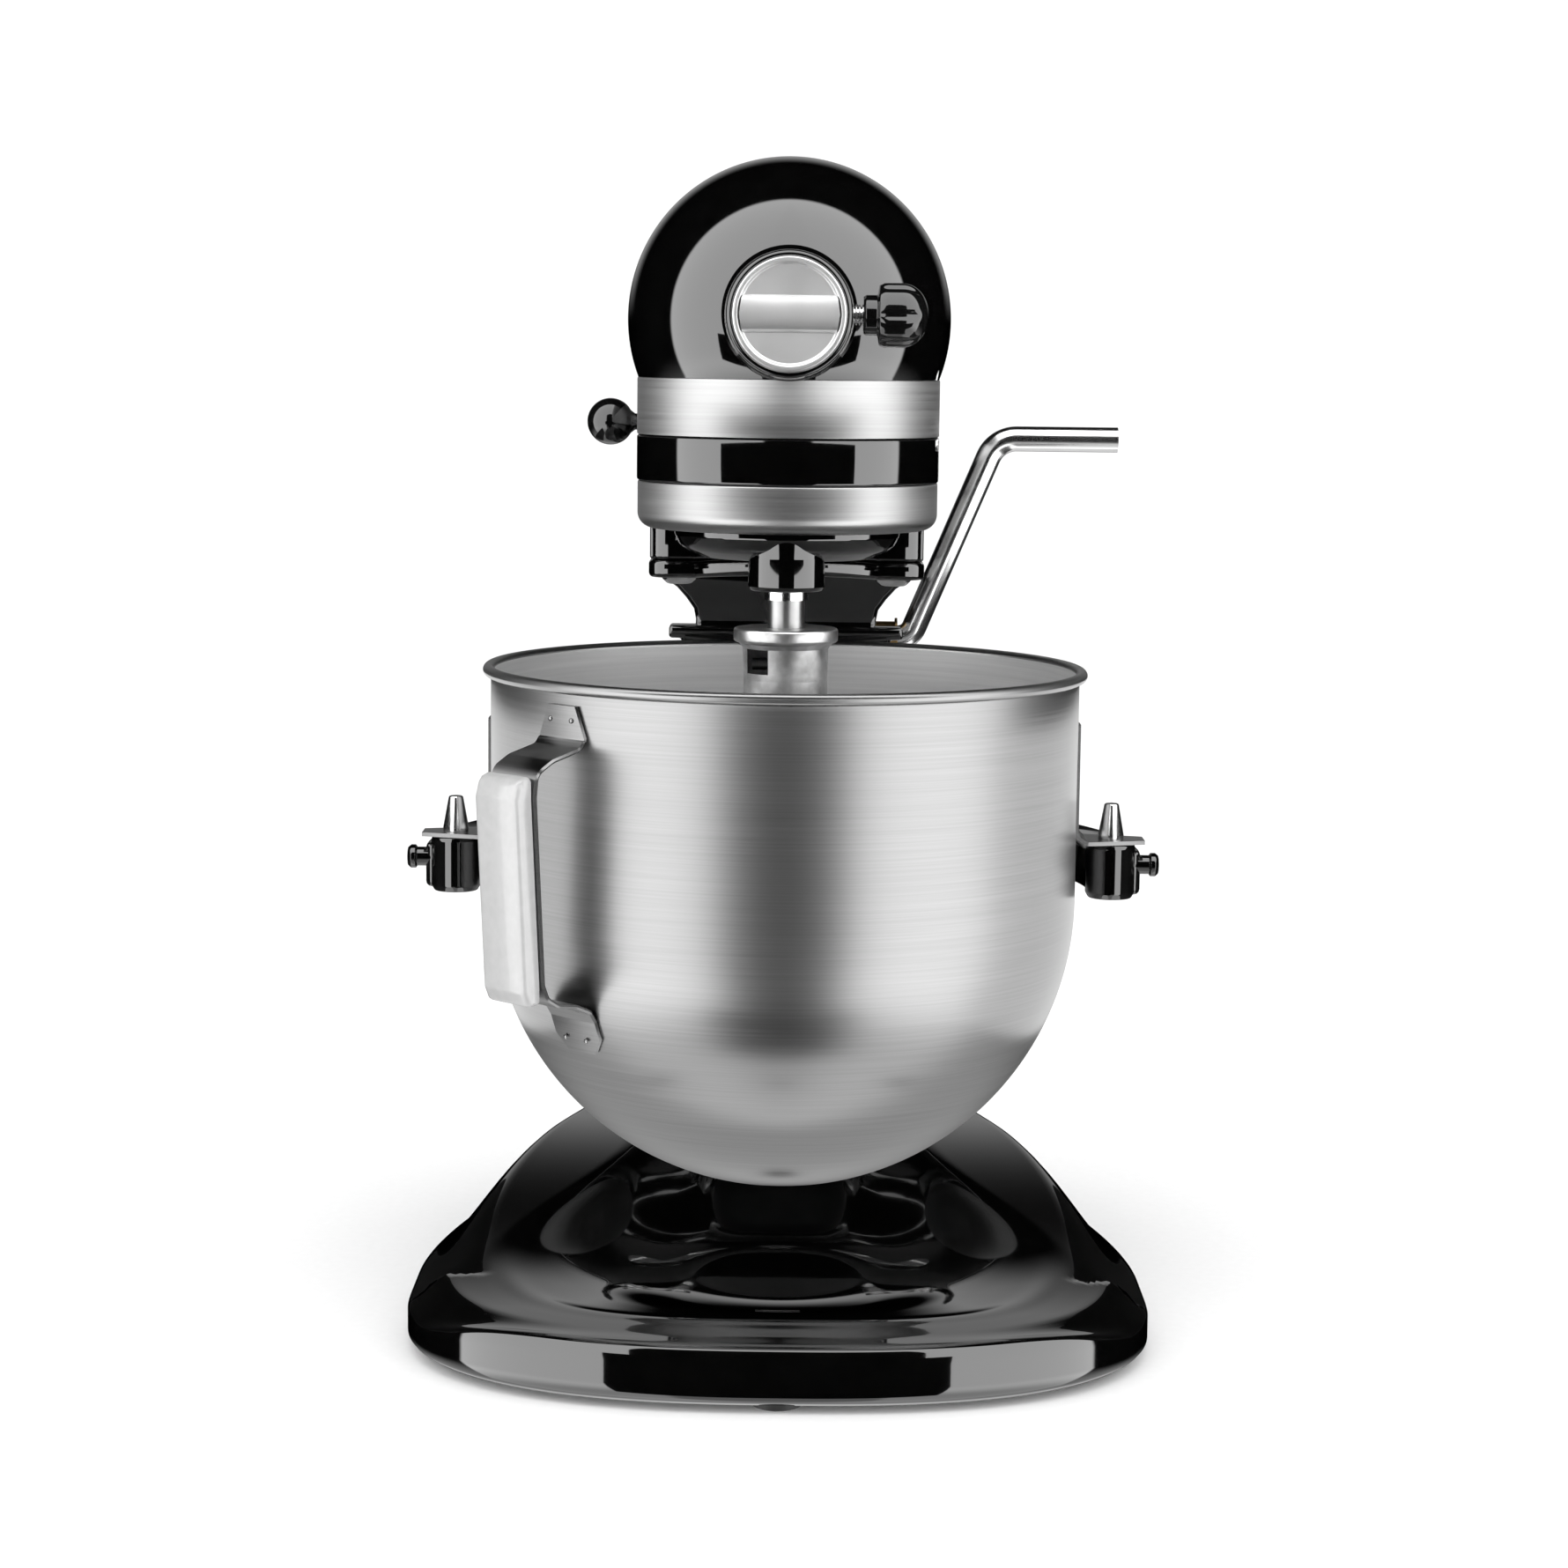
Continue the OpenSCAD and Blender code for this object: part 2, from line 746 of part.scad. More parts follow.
module hub_gear() {
    color("#a4a6a9") translate([0, -23, hub_z]) rotate([90, 0, 0]) small_gear(36, 27.2, 2.6, 7, 7.35);
}

module hub_cap() {
    front = hub_front - 3.6;
    color("#e3e4e6") difference() {
        union() {
            bar_y(19.1, front + 1, hub_front - gap, 0, hub_z);
            difference() {
                bar_y(18.6, front, front + 2, 0, hub_z);
                bar_y(16.9, front - 1, front + 1.2, 0, hub_z);
            }
            bar_y(15.7, hub_front - 1, -66, 0, hub_z);
            // Grip bar across the face
            intersection() {
                bar_y(16.95, front - 1, front + 2, 0, hub_z);
                block([-18, front - 0.6, hub_z - 5], [18, front + 2, hub_z + 5]);
            }
        }
        bar_y(13.5, -76, -60, 0, hub_z);
    }
}

module thumb_screw() {
    color("#c9cacc") {
        bar_x(3, 16.3, 30, screw_y, hub_z);
        for (i = [0:6]) bar_x(3.2, 17 + i * 1.1, 17.6 + i * 1.1, screw_y, hub_z);
    }
}

module thumb_knob() {
    flutes = 8;
    color("#0b0b0c") difference() {
        union() {
            bar_x(6.6, 24.6, 30, screw_y, hub_z);
            translate([29, screw_y, hub_z]) rotate([0, 90, 0]) rotate_extrude()
                polygon([[0, 0], [9.6, 0], [10.5, 0.9], [10.5, 11], [9.4, 13.6], [6, 15.2], [0, 15.6]]);
        }
        bar_x(3.2, 20, 34, screw_y, hub_z);
        for (i = [0:flutes - 1]) translate([0, screw_y, hub_z]) rotate([360 * (i + 0.5) / flutes, 0, 0])
            bar_x(3, 28, 50, 0, 12.4);
    }
}

// ---------- speed lever ----------

module speed_lever() {
    color("#c9cacc") {
        block([-66, 66, 310.6], [-32, 74, 313]);
        bar_z(7, 306, 318, -34, 70);
    }
}

module speed_knob() {
    color("#0b0b0c") difference() {
        translate([-66, 70, 311.8]) sphere(r = 8.8);
        block([-58.6, 60, 300], [-50, 80, 320]);
        block([-67, 65.9, 310.5], [-50, 74.1, 313.1]);
        translate([-66, 70, 311.8]) rotate([0, 0, 12]) block([-8, -12, -9], [8, -7.6, 9]);
    }
}

// ---------- planetary and beater ----------

module planetary_casting() {
    color("#0e0e0f") difference() {
        union() {
            rotate_extrude($fn = 96) {
                square_at(0, 270, 39.6, 8.6);
                square_at(0, 267, 31.6, 11.6);
                intersection() {
                    translate([31.6, 275]) circle(r = 8);
                    square_at(31, 266, 10, 9);
                }
            }
            bar_z(boss_r, boss_bottom, 278, 0, -orbit);
            bar_z(10, 270, 289, 0, 0);
        }
        bar_z(9, 250, 290, 0, -orbit);
        bar_z(centre_d / 2, 264, 292);
        bar_x(2, -45, 45, 0, 274);
        // Lightening pocket opposite the boss
        bar_z(9, 264, 274, 0, 24);
    }
}

// Square with its lower left corner at a point
module square_at(x, y, w, h) {
    translate([x, y]) square([w, h]);
}

module planetary_pin() {
    color("#c9cacc") bar_x(1.99, -39, 24, 0, 274);
}

module beater_bush() {
    color("#b08d57") difference() {
        bar_z(9, 257, 278, 0, -orbit);
        bar_z(beater_d / 2 + fit, 250, 280, 0, -orbit);
    }
}

module beater_shaft() {
    color("#c3c5c8") difference() {
        bar_z(beater_d / 2, 225, 291, 0, -orbit);
        bar_x(2, -20, 20, -orbit, 231);
    }
}

module drive_pin() {
    color("#c3c5c8") bar_x(2, -11.4, 11.4, -orbit, 231);
}

module shaft_washer() {
    color("#d8d9db") difference() {
        bar_z(7.5, 253.4, 256.2, 0, -orbit);
        bar_z(beater_d / 2, 250, 260, 0, -orbit);
    }
}

// Closed outline of the flat beater's frame, with the opening and cross bars left in
module beater_outline() {
    difference() {
        beater_leaf(0);
        beater_leaf(9);
    }
    intersection() {
        beater_leaf(1);
        union() {
            translate([-4.5, 70]) square([9, 140]);
            for (s = [-1, 1]) translate([s * 27, 92]) rotate(-s * 14) square([8, 120], center = true);
            translate([-62, 118]) square([124, 8]);
        }
    }
}

// Shield shape that follows the bowl, made smaller all round by t
module beater_leaf(t) {
    intersection() {
        translate([0, 129]) circle(r = 72 - t, $fn = 128);
        translate([-60 + t, 55]) square([120 - 2 * t, 138 - t]);
        translate([0, 62]) rotate(45) translate([-4 + t, -4 + t]) square([190, 190]);
    }
}

module flat_beater() {
    y0 = -orbit;
    color("#c4c5c6") {
        difference() {
            union() {
                translate([0, y0 + 4, 0]) rotate([90, 0, 0]) linear_extrude(8) beater_outline();
                bar_z(14.4, 184, 239, 0, y0);
                bar_z(18, beater_flange_z, 243.8, 0, y0);
                bar_z(16.5, 238, beater_flange_z + 1, 0, y0);
            }
            bar_z(beater_d / 2 + 0.15, 208, 250, 0, y0);
            // J slot for the drive pin
            block([-16, y0 - 2.3, 228.5], [16, y0 + 2.3, 237]);
            for (a = [12, 24]) translate([0, y0, 0]) rotate([0, 0, a])
                block([-16, -2.3, 228.5], [16, 2.3, 234]);
        }
    }
}

// ---------- yoke and slide ----------

module yoke_casting() {
    arm_low = 148;
    arm_high = 164;
    slot_z = rod_z + crank_l * sin(60);
    color("#0b0b0c") difference() {
        union() {
            // Curved arms and the bar that joins them
            translate([0, 0, arm_low]) linear_extrude(arm_high - arm_low) difference() {
                intersection() {
                    translate([0, 6]) circle(r = 127, $fn = 128);
                    translate([-140, -2]) square([280, 124]);
                }
                circle(r = 108.6, $fn = 128);
                translate([-140, -30]) square([280, 28]);
            }
            // Outer rib
            translate([0, 0, 155]) linear_extrude(8) difference() {
                intersection() {
                    translate([0, 8]) circle(r = 133.4, $fn = 128);
                    translate([-140, 4]) square([280, 116]);
                }
                circle(r = 112, $fn = 128);
            }
            both_sides() bar_z(8.9, 147, 166.4, pin_x, 0);
            // Slide plate with its top flange
            pillar([-40, plate_y, 120], [40, 122.1, yoke_top], 3);
            pillar([-45, plate_y, yoke_top - 5], [45, 122.1, yoke_top], 3);
            // Key that runs in the column's slot
            block([-16, 121.5, 130], [16, 129.2, 226]);
            // Tail with the slot for the crank
            block([-8, 129, 176], [-1.5, 175, 252]);
        }
        both_sides() bar_z(4.2, 146, 170, pin_x, 0);
        // Room for the crank and its pin
        block([-9, rod_y + 3.5, slot_z - 5], [0, rod_y + crank_l + 4.5, slot_z + 4.8]);
        block([-9, 129.3, 205], [0, 140, 244]);
    }
}

module slide_gib() {
    color("#8f9194") difference() {
        block([-24, 129.2, 136], [24, 133.2, 204]);
        block([-9, 129, 170], [-0.5, 140, 210]);
    }
}

module locating_pins() {
    color("#d5d6d8") both_sides() {
        bar_z(4.15, 150, 168.2, pin_x, 0);
        translate([pin_x, 0, 168.2]) cylinder(r1 = 4.5, r2 = 2.5, h = 12.6);
    }
}

module bowl_latch() {
    color("#b9bbbe") difference() {
        union() {
            block([-14, 108.4, 190], [14, plate_y, 221]);
            bar_x(2.4, -14, 14, 108.1, 190);
        }
        bar_x(1.2, -20, 20, 108.1, 190);
    }
}

module height_screw() {
    color("#b9bbbe") difference() {
        union() {
            bar_y(3, 117.5, 136, 0, screw_z);
            bar_y(5.2, 115, 118, 0, screw_z);
        }
        block([-6, 114, screw_z - 0.7], [6, 116.2, screw_z + 0.7]);
    }
}

// ---------- bowl ----------

// Half section of the bowl's outside, made smaller by t
module bowl_profile(t) {
    floor_z = bowl_axis_z - sqrt(pow(bowl_r, 2) - pow(foot_r, 2));
    intersection() {
        union() {
            translate([0, bowl_axis_z]) square([bowl_r - t, rim_z + 10 - bowl_axis_z]);
            translate([0, bowl_axis_z]) circle(r = bowl_r - t, $fn = 128);
        }
        translate([0, floor_z + t]) square([bowl_r, 250]);
    }
}

module bowl_shell() {
    color("#b4b5b6") rotate_extrude($fn = 128) {
        difference() {
            bowl_profile(0);
            bowl_profile(bowl_t);
            translate([0, rim_z - roll_r]) square([bowl_r + 1, 60]);
        }
        difference() {
            translate([bowl_r + roll_r - bowl_t, rim_z - roll_r]) circle(r = roll_r);
            translate([bowl_r + roll_r - bowl_t, rim_z - roll_r]) circle(r = roll_r - bowl_t * 0.8);
            translate([bowl_r, rim_z - 2.4 * roll_r]) square([roll_r * 0.7, roll_r]);
        }
    }
}

module bowl_brackets() {
    t = 1.5;
    low = 166.7;
    color("#c0c1c2") both_sides() difference() {
        union() {
            intersection() {
                rotate_extrude($fn = 128) square_at(bowl_r + 0.15, low, t, 43);
                block([90, -14, low], [120, 14, 212]);
            }
            block([bowl_r - 1, -10, low], [118, 10, low + t]);
            bar_z(11.5, low, low + t, pin_x, 0);
        }
        bar_z(bowl_r + 0.15, low - 1, 220);
        bar_z(5, low - 1, low + 4, pin_x, 0);
    }
}

// Side outline of the handle strap's outer edge, distance from the bowl's axis and height
strap_points = [[104.3, 220.5], [104.3, 207.5], [107.5, 204], [119, 199.5], [125, 194.5], [125.4, 187],
                [121.6, 128], [119.6, 123], [115, 120.2], [107, 119.4], [101.4, 118], [99.27, 115],
                [96.9, 108.5], [94.56, 103]];
strap_t = 1.4;

// Unit normal of the strap's stretch that starts at a point
function stretch_normal(i) = let (d = strap_points[i + 1] - strap_points[i]) [-d[1], d[0]] / norm(d);

// Mitred normal at a point of the strap
function strap_normal(i) =
    i == 0 ? stretch_normal(0)
    : i == len(strap_points) - 1 ? stretch_normal(i - 1)
    : let (a = stretch_normal(i - 1), b = stretch_normal(i)) (a + b) / (1 + a * b);

// One face of the strap, half its thickness from the middle line
function strap_side(s) =
    [for (i = [0:len(strap_points) - 1]) strap_points[i] + s * strap_t / 2 * strap_normal(i)];

module bowl_handle() {
    last = len(strap_points) - 1;
    near = strap_side(-1);
    outline = concat(strap_side(1), [for (i = [last:-1:0]) near[i]]);
    color("#c0c1c2") rotate([0, 0, handle_turn]) rotate([90, 0, -90])
        translate([0, 0, -handle_w / 2]) linear_extrude(handle_w) polygon(outline);
}

module handle_grip() {
    half = handle_w / 2 + 1.2;
    color("#e9e9e8") rotate([0, 0, handle_turn]) rotate([90, 0, -90])
        translate([0, 0, -half]) linear_extrude(2 * half)
            polygon([[126.4, 192], [132.6, 190], [133.6, 186], [129.6, 127], [128, 122.5],
                     [122.6, 123.4], [122.7, 128]]);
}

// ---------- lift handle ----------

// Straight stretches and bends of the lift rod, in the XZ plane
bend_turn = 67.3;
low_bend_x = 44.2;
low_bend_r = 7;
high_bend_x = 89.7;
high_bend_r = 12;
rod_top = 305.2;
rod_end = 129.4;

// One bend of the rod about a centre, starting at an angle
module rod_bend(x, z, bend_r, start) {
    translate([x, rod_y, z]) rotate([90, 0, 0]) rotate([0, 0, start])
        rotate_extrude(angle = bend_turn) translate([bend_r, 0]) circle(d = rod_d + 0.1);
}

module lift_rod() {
    r = rod_d / 2;
    low_x = low_bend_x + low_bend_r * sin(bend_turn);
    low_z = rod_z + low_bend_r * (1 - cos(bend_turn));
    high_x = high_bend_x - high_bend_r * sin(bend_turn);
    high_z = rod_top - high_bend_r * (1 - cos(bend_turn));
    tip = 1.6;
    lap = 0.3;
    color("#cfd0d2") {
        bar_x(r, crank_end, low_bend_x + lap, rod_y, rod_z);
        rod_bend(low_bend_x, rod_z + low_bend_r, low_bend_r, -90);
        translate([low_x, rod_y, low_z]) rotate([0, atan2(high_x - low_x, high_z - low_z), 0])
            translate([0, 0, -lap]) cylinder(r = r, h = norm([high_x - low_x, high_z - low_z]) + 2 * lap);
        rod_bend(high_bend_x, rod_top - high_bend_r, high_bend_r, 90);
        bar_x(r, high_bend_x - lap, rod_end - tip, rod_y, rod_top);
        translate([rod_end - tip, rod_y, rod_top]) rotate([0, 90, 0]) cylinder(r1 = r, r2 = r - tip, h = tip);
    }
}

module lift_crank() {
    color("#8f9194") {
        translate([crank_x, rod_y, rod_z]) rotate([60, 0, 0]) rotate([90, 0, 90])
            linear_extrude(crank_end - crank_x) {
                circle(r = 9);
                translate([0, -4.6]) square([crank_l, 9.2]);
                translate([crank_l, 0]) circle(r = 5);
            }
        bar_x(3, -8, crank_x + 1, rod_y + crank_l * cos(60), rod_z + crank_l * sin(60));
    }
}

module lift_bushings() {
    color("#b08d57") {
        difference() {
            bar_x(bush_r, 14.5, 21.5, rod_y, rod_z);
            bar_x(rod_d / 2 + fit, 10, 30, rod_y, rod_z);
        }
        difference() {
            union() {
                bar_x(bush_r, 31.5, 43.9, rod_y, rod_z);
                bar_x(bush_r + 1.4, 43, 43.9, rod_y, rod_z);
            }
            bar_x(rod_d / 2 + fit, 30, 50, rod_y, rod_z);
        }
    }
}

base_casting();
rubber_feet();
column_casting();
column_screws();
head_screws();
gearcase_lower();
head_housing();
rear_cover();
rear_cover_screw();
trim_band();
attachment_hub();
drip_cup();
ring_gear();
gear_bracket();
motor_stator();
field_coils();
brush_holders();
brush_caps();
front_bearing();
rear_bearing();
control_board();
cord_gland();
lift_bushings();
centre_bush();
height_screw();
centre_shaft();
crown_gear();
planetary_casting();
planetary_pin();
beater_bush();
beater_shaft();
planet_pinion();
drive_pin();
shaft_washer();
flat_beater();
armature_shaft();
armature_core();
commutator();
cooling_fan();
cross_shaft();
worm_wheel();
bevel_pinion();
hub_shaft();
hub_gear();
hub_cap();
thumb_screw();
thumb_knob();
speed_lever();
speed_knob();
yoke_casting();
slide_gib();
locating_pins();
bowl_latch();
bowl_shell();
bowl_brackets();
bowl_handle();
handle_grip();
lift_rod();
lift_crank();
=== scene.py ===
import json
import math
import bpy
import bmesh
from mathutils import Matrix, Vector


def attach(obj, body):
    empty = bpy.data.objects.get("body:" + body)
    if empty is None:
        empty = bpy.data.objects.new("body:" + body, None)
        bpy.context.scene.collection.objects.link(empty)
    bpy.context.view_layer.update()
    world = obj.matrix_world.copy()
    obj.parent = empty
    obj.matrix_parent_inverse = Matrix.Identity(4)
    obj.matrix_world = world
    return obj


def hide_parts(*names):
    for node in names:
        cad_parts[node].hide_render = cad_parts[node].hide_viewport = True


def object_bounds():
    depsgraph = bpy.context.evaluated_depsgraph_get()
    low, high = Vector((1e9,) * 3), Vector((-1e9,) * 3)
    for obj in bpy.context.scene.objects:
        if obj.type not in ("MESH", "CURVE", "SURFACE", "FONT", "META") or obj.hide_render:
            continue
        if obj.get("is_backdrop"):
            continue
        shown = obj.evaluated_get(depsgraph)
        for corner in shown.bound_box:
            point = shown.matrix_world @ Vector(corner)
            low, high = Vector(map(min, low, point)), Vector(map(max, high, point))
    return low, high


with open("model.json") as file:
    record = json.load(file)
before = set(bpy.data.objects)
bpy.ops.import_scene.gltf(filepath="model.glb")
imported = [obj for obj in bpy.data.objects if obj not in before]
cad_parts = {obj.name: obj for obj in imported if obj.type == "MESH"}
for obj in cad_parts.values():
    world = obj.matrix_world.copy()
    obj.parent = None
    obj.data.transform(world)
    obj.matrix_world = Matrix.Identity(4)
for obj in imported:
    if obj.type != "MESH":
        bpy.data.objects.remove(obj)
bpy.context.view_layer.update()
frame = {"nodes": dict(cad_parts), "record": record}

MM = 0.001
scene = bpy.context.scene
pi = math.pi

# ---------------------------------------------------------------- materials


def new_material(name):
    """Node material with its tree and its Principled shader."""
    mat = bpy.data.materials.new(name)
    mat.use_nodes = True
    tree = mat.node_tree
    shader = tree.nodes["Principled BSDF"]
    return mat, tree, shader


def noise(tree, scale, detail, stretch=(1, 1, 1)):
    """A noise texture in the object's own space, stretched along the axes."""
    coords = tree.nodes.new("ShaderNodeTexCoord")
    mapping = tree.nodes.new("ShaderNodeMapping")
    mapping.inputs["Scale"].default_value = stretch
    tex = tree.nodes.new("ShaderNodeTexNoise")
    tex.inputs["Scale"].default_value = scale
    tex.inputs["Detail"].default_value = detail
    tex.inputs["Roughness"].default_value = 0.5
    tree.links.new(coords.outputs["Object"], mapping.inputs["Vector"])
    tree.links.new(mapping.outputs["Vector"], tex.inputs["Vector"])
    return tex.outputs["Fac"]


def ranged(tree, value, low, high):
    """Maps a 0 to 1 value on to low to high."""
    node = tree.nodes.new("ShaderNodeMapRange")
    node.inputs["To Min"].default_value = low
    node.inputs["To Max"].default_value = high
    tree.links.new(value, node.inputs["Value"])
    return node.outputs["Result"]


def tinted(tree, value, dark, light):
    """Maps a 0 to 1 value on to a colour between dark and light."""
    ramp = tree.nodes.new("ShaderNodeValToRGB")
    ramp.color_ramp.elements[0].position = 0.3
    ramp.color_ramp.elements[1].position = 0.7
    ramp.color_ramp.elements[0].color = (*dark, 1)
    ramp.color_ramp.elements[1].color = (*light, 1)
    tree.links.new(value, ramp.inputs["Fac"])
    return ramp.outputs["Color"]


def bumped(tree, shader, value, distance):
    """Raises the surface by up to a distance in metres."""
    bump = tree.nodes.new("ShaderNodeBump")
    bump.inputs["Distance"].default_value = distance
    bump.inputs["Strength"].default_value = 1.0
    tree.links.new(value, bump.inputs["Height"])
    tree.links.new(bump.outputs["Normal"], shader.inputs["Normal"])


def surface(name, dark, light, rough, bump, scale, stretch=(1, 1, 1), metal=0.0, coat=0.0, detail=3,
            aniso=0.0, specular=0.5):
    """One procedural finish: noise drives the colour, the roughness and the bump.

    aniso stretches the highlights of a surface that was turned about Z.
    """
    mat, tree, shader = new_material(name)
    grain = noise(tree, scale, detail, stretch)
    tree.links.new(tinted(tree, grain, dark, light), shader.inputs["Base Color"])
    tree.links.new(ranged(tree, grain, rough[0], rough[1]), shader.inputs["Roughness"])
    shader.inputs["Metallic"].default_value = metal
    shader.inputs["Specular IOR Level"].default_value = specular
    shader.inputs["Coat Weight"].default_value = coat
    shader.inputs["Coat Roughness"].default_value = 0.03
    if aniso:
        shader.inputs["Anisotropic"].default_value = aniso
        tangent = tree.nodes.new("ShaderNodeTangent")
        tangent.direction_type = "RADIAL"
        tangent.axis = "Z"
        tree.links.new(tangent.outputs["Tangent"], shader.inputs["Tangent"])
    bumped(tree, shader, grain, bump)
    return mat


def g(v):
    """Grey of the given brightness."""
    return v, v, v


finish = {
    "black_enamel": surface("black_enamel", g(0.0012), g(0.0020), (0.04, 0.07), 0.0000012, 140, coat=0.8,
                            specular=0.6),
    "grey_casting": surface("grey_casting", g(0.16), g(0.22), (0.45, 0.6), 0.00008, 300, metal=0.8),
    "brushed_trim": surface("brushed_trim", g(0.32), g(0.38), (0.34, 0.44), 0.00002, 14, (1, 1, 90), metal=1.0,
                            aniso=0.6),
    "polished_steel": surface("polished_steel", g(0.66), g(0.72), (0.16, 0.22), 0.000004, 50, metal=1.0),
    "satin_steel": surface("satin_steel", g(0.56), g(0.62), (0.34, 0.42), 0.000004, 50, metal=0.9),
    # The bowl's inside: a lighter, partly matte copy of the bowl steel, painted light that stands in for light
    # bouncing inside the bowl
    "bowl_inside_painted_light": surface("bowl_inside_painted_light", g(0.66), g(0.76), (0.26, 0.34), 0.000012, 11, (1, 1, 60),
                                metal=0.55, aniso=0.6, detail=5),
    "bowl_steel": surface("bowl_steel", g(0.215), g(0.25), (0.26, 0.34), 0.000009, 11, (1, 1, 140), metal=1.0,
                          aniso=0.75, detail=6),
    "burnished_aluminium": surface("burnished_aluminium", g(0.44), g(0.78), (0.26, 0.44), 0.00010, 160,
                                   metal=1.0, detail=6),
    "gear_steel": surface("gear_steel", g(0.30), g(0.38), (0.28, 0.38), 0.00002, 120, metal=1.0),
    "bronze": surface("bronze", (0.42, 0.27, 0.11), (0.52, 0.35, 0.16), (0.25, 0.35), 0.00001, 120, metal=1.0),
    "copper": surface("copper", (0.52, 0.20, 0.09), (0.62, 0.27, 0.13), (0.25, 0.4), 0.00003, 200, metal=1.0),
    "lamination": surface("lamination", g(0.14), g(0.22), (0.35, 0.5), 0.00004, 30, (1, 60, 1), metal=0.9),
    "black_rubber": surface("black_rubber", g(0.012), g(0.018), (0.6, 0.75), 0.00004, 400),
    "black_plastic": surface("black_plastic", g(0.003), g(0.005), (0.07, 0.11), 0.000002, 160, coat=0.3,
                             specular=0.6),
    "fan_plastic": surface("fan_plastic", g(0.05), g(0.07), (0.4, 0.5), 0.00002, 220),
    "board_green": surface("board_green", (0.03, 0.13, 0.05), (0.04, 0.17, 0.07), (0.35, 0.45), 0.00002, 150),
    "brush_brown": surface("brush_brown", (0.14, 0.07, 0.03), (0.20, 0.11, 0.05), (0.4, 0.5), 0.00003, 150),
    "grip_white": surface("grip_white", g(0.47), g(0.51), (0.20, 0.27), 0.000005, 260, coat=0.3),
}

# ---------------------------------------------------------------- mesh helpers


def finish_mesh(name, bm, body, slot, nodes, angle=38, look=None):
    """Turns a bmesh in millimetres into a piece that rides on a body in place of CAD nodes.

    look names a finish of its own; without it, the piece has the finish of its slot.
    """
    bmesh.ops.recalc_face_normals(bm, faces=bm.faces[:])
    bmesh.ops.scale(bm, vec=(MM, MM, MM), verts=bm.verts[:])
    mesh = bpy.data.meshes.new(name)
    bm.to_mesh(mesh)
    bm.free()
    for poly in mesh.polygons:
        poly.use_smooth = True
    mesh.set_sharp_from_angle(angle=math.radians(angle))
    mesh.materials.append(finish[look or slot])
    piece = bpy.data.objects.new(name, mesh)
    scene.collection.objects.link(piece)
    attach(piece, body)
    for node in nodes:
        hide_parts(node)
    return piece


def skin(bm, rings, closed=True, cap_start=False, cap_end=False):
    """Faces through rings of equal length; returns the rings as vertices."""
    rows = [[bm.verts.new(p) for p in ring] for ring in rings]
    n = len(rows[0])
    for a, b in zip(rows, rows[1:]):
        for i in range(n if closed else n - 1):
            j = (i + 1) % n
            bm.faces.new((a[i], a[j], b[j], b[i]))
    if cap_start:
        bm.faces.new(rows[0])
    if cap_end:
        bm.faces.new(rows[-1])
    return rows


AXES = {
    "Z": lambda r, h, a: (r * math.cos(a), r * math.sin(a), h),
    "Y": lambda r, h, a: (r * math.cos(a), h, r * math.sin(a)),
    "X": lambda r, h, a: (h, r * math.cos(a), r * math.sin(a)),
}


def lathe(bm, profile, axis="Z", at=(0, 0, 0), n=96, wobble=None):
    """Turns a profile of (radius, height) points round an axis; ends on the axis are closed by a point."""
    rings, start, end = [], None, None
    pts = list(profile)
    if pts[0][0] < 1e-6:
        start = pts.pop(0)
    if pts[-1][0] < 1e-6:
        end = pts.pop()
    place = lambda r, h, a: Vector(AXES[axis](r, h, a)) + Vector(at)
    for r, h in pts:
        ring = []
        for i in range(n):
            a = 2 * pi * i / n
            ring.append(place(r * (wobble(a, h) if wobble else 1), h, a))
        rings.append(ring)
    rows = skin(bm, rings)
    for tip, row in ((start, rows[0]), (end, rows[-1])):
        if tip:
            v = bm.verts.new(place(0, tip[1], 0))
            for i in range(n):
                bm.faces.new((row[i], row[(i + 1) % n], v))


def fillet(points, radii, steps=5, closed=False):
    """Polyline with its corners rounded by arcs of the given radii."""
    out = []
    count = len(points)
    for i, p in enumerate(points):
        r = radii[i] if isinstance(radii, (list, tuple)) else radii
        if (not closed and i in (0, count - 1)) or r <= 0:
            out.append(tuple(p))
            continue
        p = Vector(p)
        a = Vector(points[i - 1]) - p
        b = Vector(points[(i + 1) % count]) - p
        la, lb = a.length, b.length
        a.normalize()
        b.normalize()
        cosine = max(-1, min(1, a.dot(b)))
        half = math.acos(cosine) / 2
        if half > pi / 2 - 0.02:
            out.append(tuple(p))
            continue
        cut = min(r / math.tan(half), 0.49 * la, 0.49 * lb)
        rr = cut * math.tan(half)
        centre = p + (a + b).normalized() * (rr / math.sin(half))
        start, end = p + a * cut - centre, p + b * cut - centre
        sweep = pi - 2 * half
        for k in range(steps + 1):
            t = k / steps
            v = (start * math.sin((1 - t) * sweep) + end * math.sin(t * sweep)) / math.sin(sweep)
            out.append(tuple(centre + v))
    return out


def slab(bm, outline, z0, z1, bevel=1.0, segments=3, lift=None, corners=25):
    """Extruded outline with its edges rounded; lift then moves every vertex."""
    lower = [bm.verts.new((x, y, z0)) for x, y in outline]
    upper = [bm.verts.new((x, y, z1)) for x, y in outline]
    n = len(outline)
    faces = [bm.faces.new(lower[::-1]), bm.faces.new(upper)]
    for i in range(n):
        j = (i + 1) % n
        faces.append(bm.faces.new((lower[i], lower[j], upper[j], upper[i])))
    bmesh.ops.recalc_face_normals(bm, faces=faces)
    sharp = [e for f in faces for e in f.edges
             if len(e.link_faces) == 2 and e.calc_face_angle(0) > math.radians(corners)]
    before = set(bm.verts)
    bmesh.ops.bevel(bm, geom=list(dict.fromkeys(sharp)), offset=bevel, segments=segments, profile=0.5,
                    affect="EDGES", clamp_overlap=True)
    if lift:
        kept = [v for v in lower + upper if v.is_valid]
        for v in dict.fromkeys([v for v in bm.verts if v not in before] + kept):
            v.co = lift(v.co)


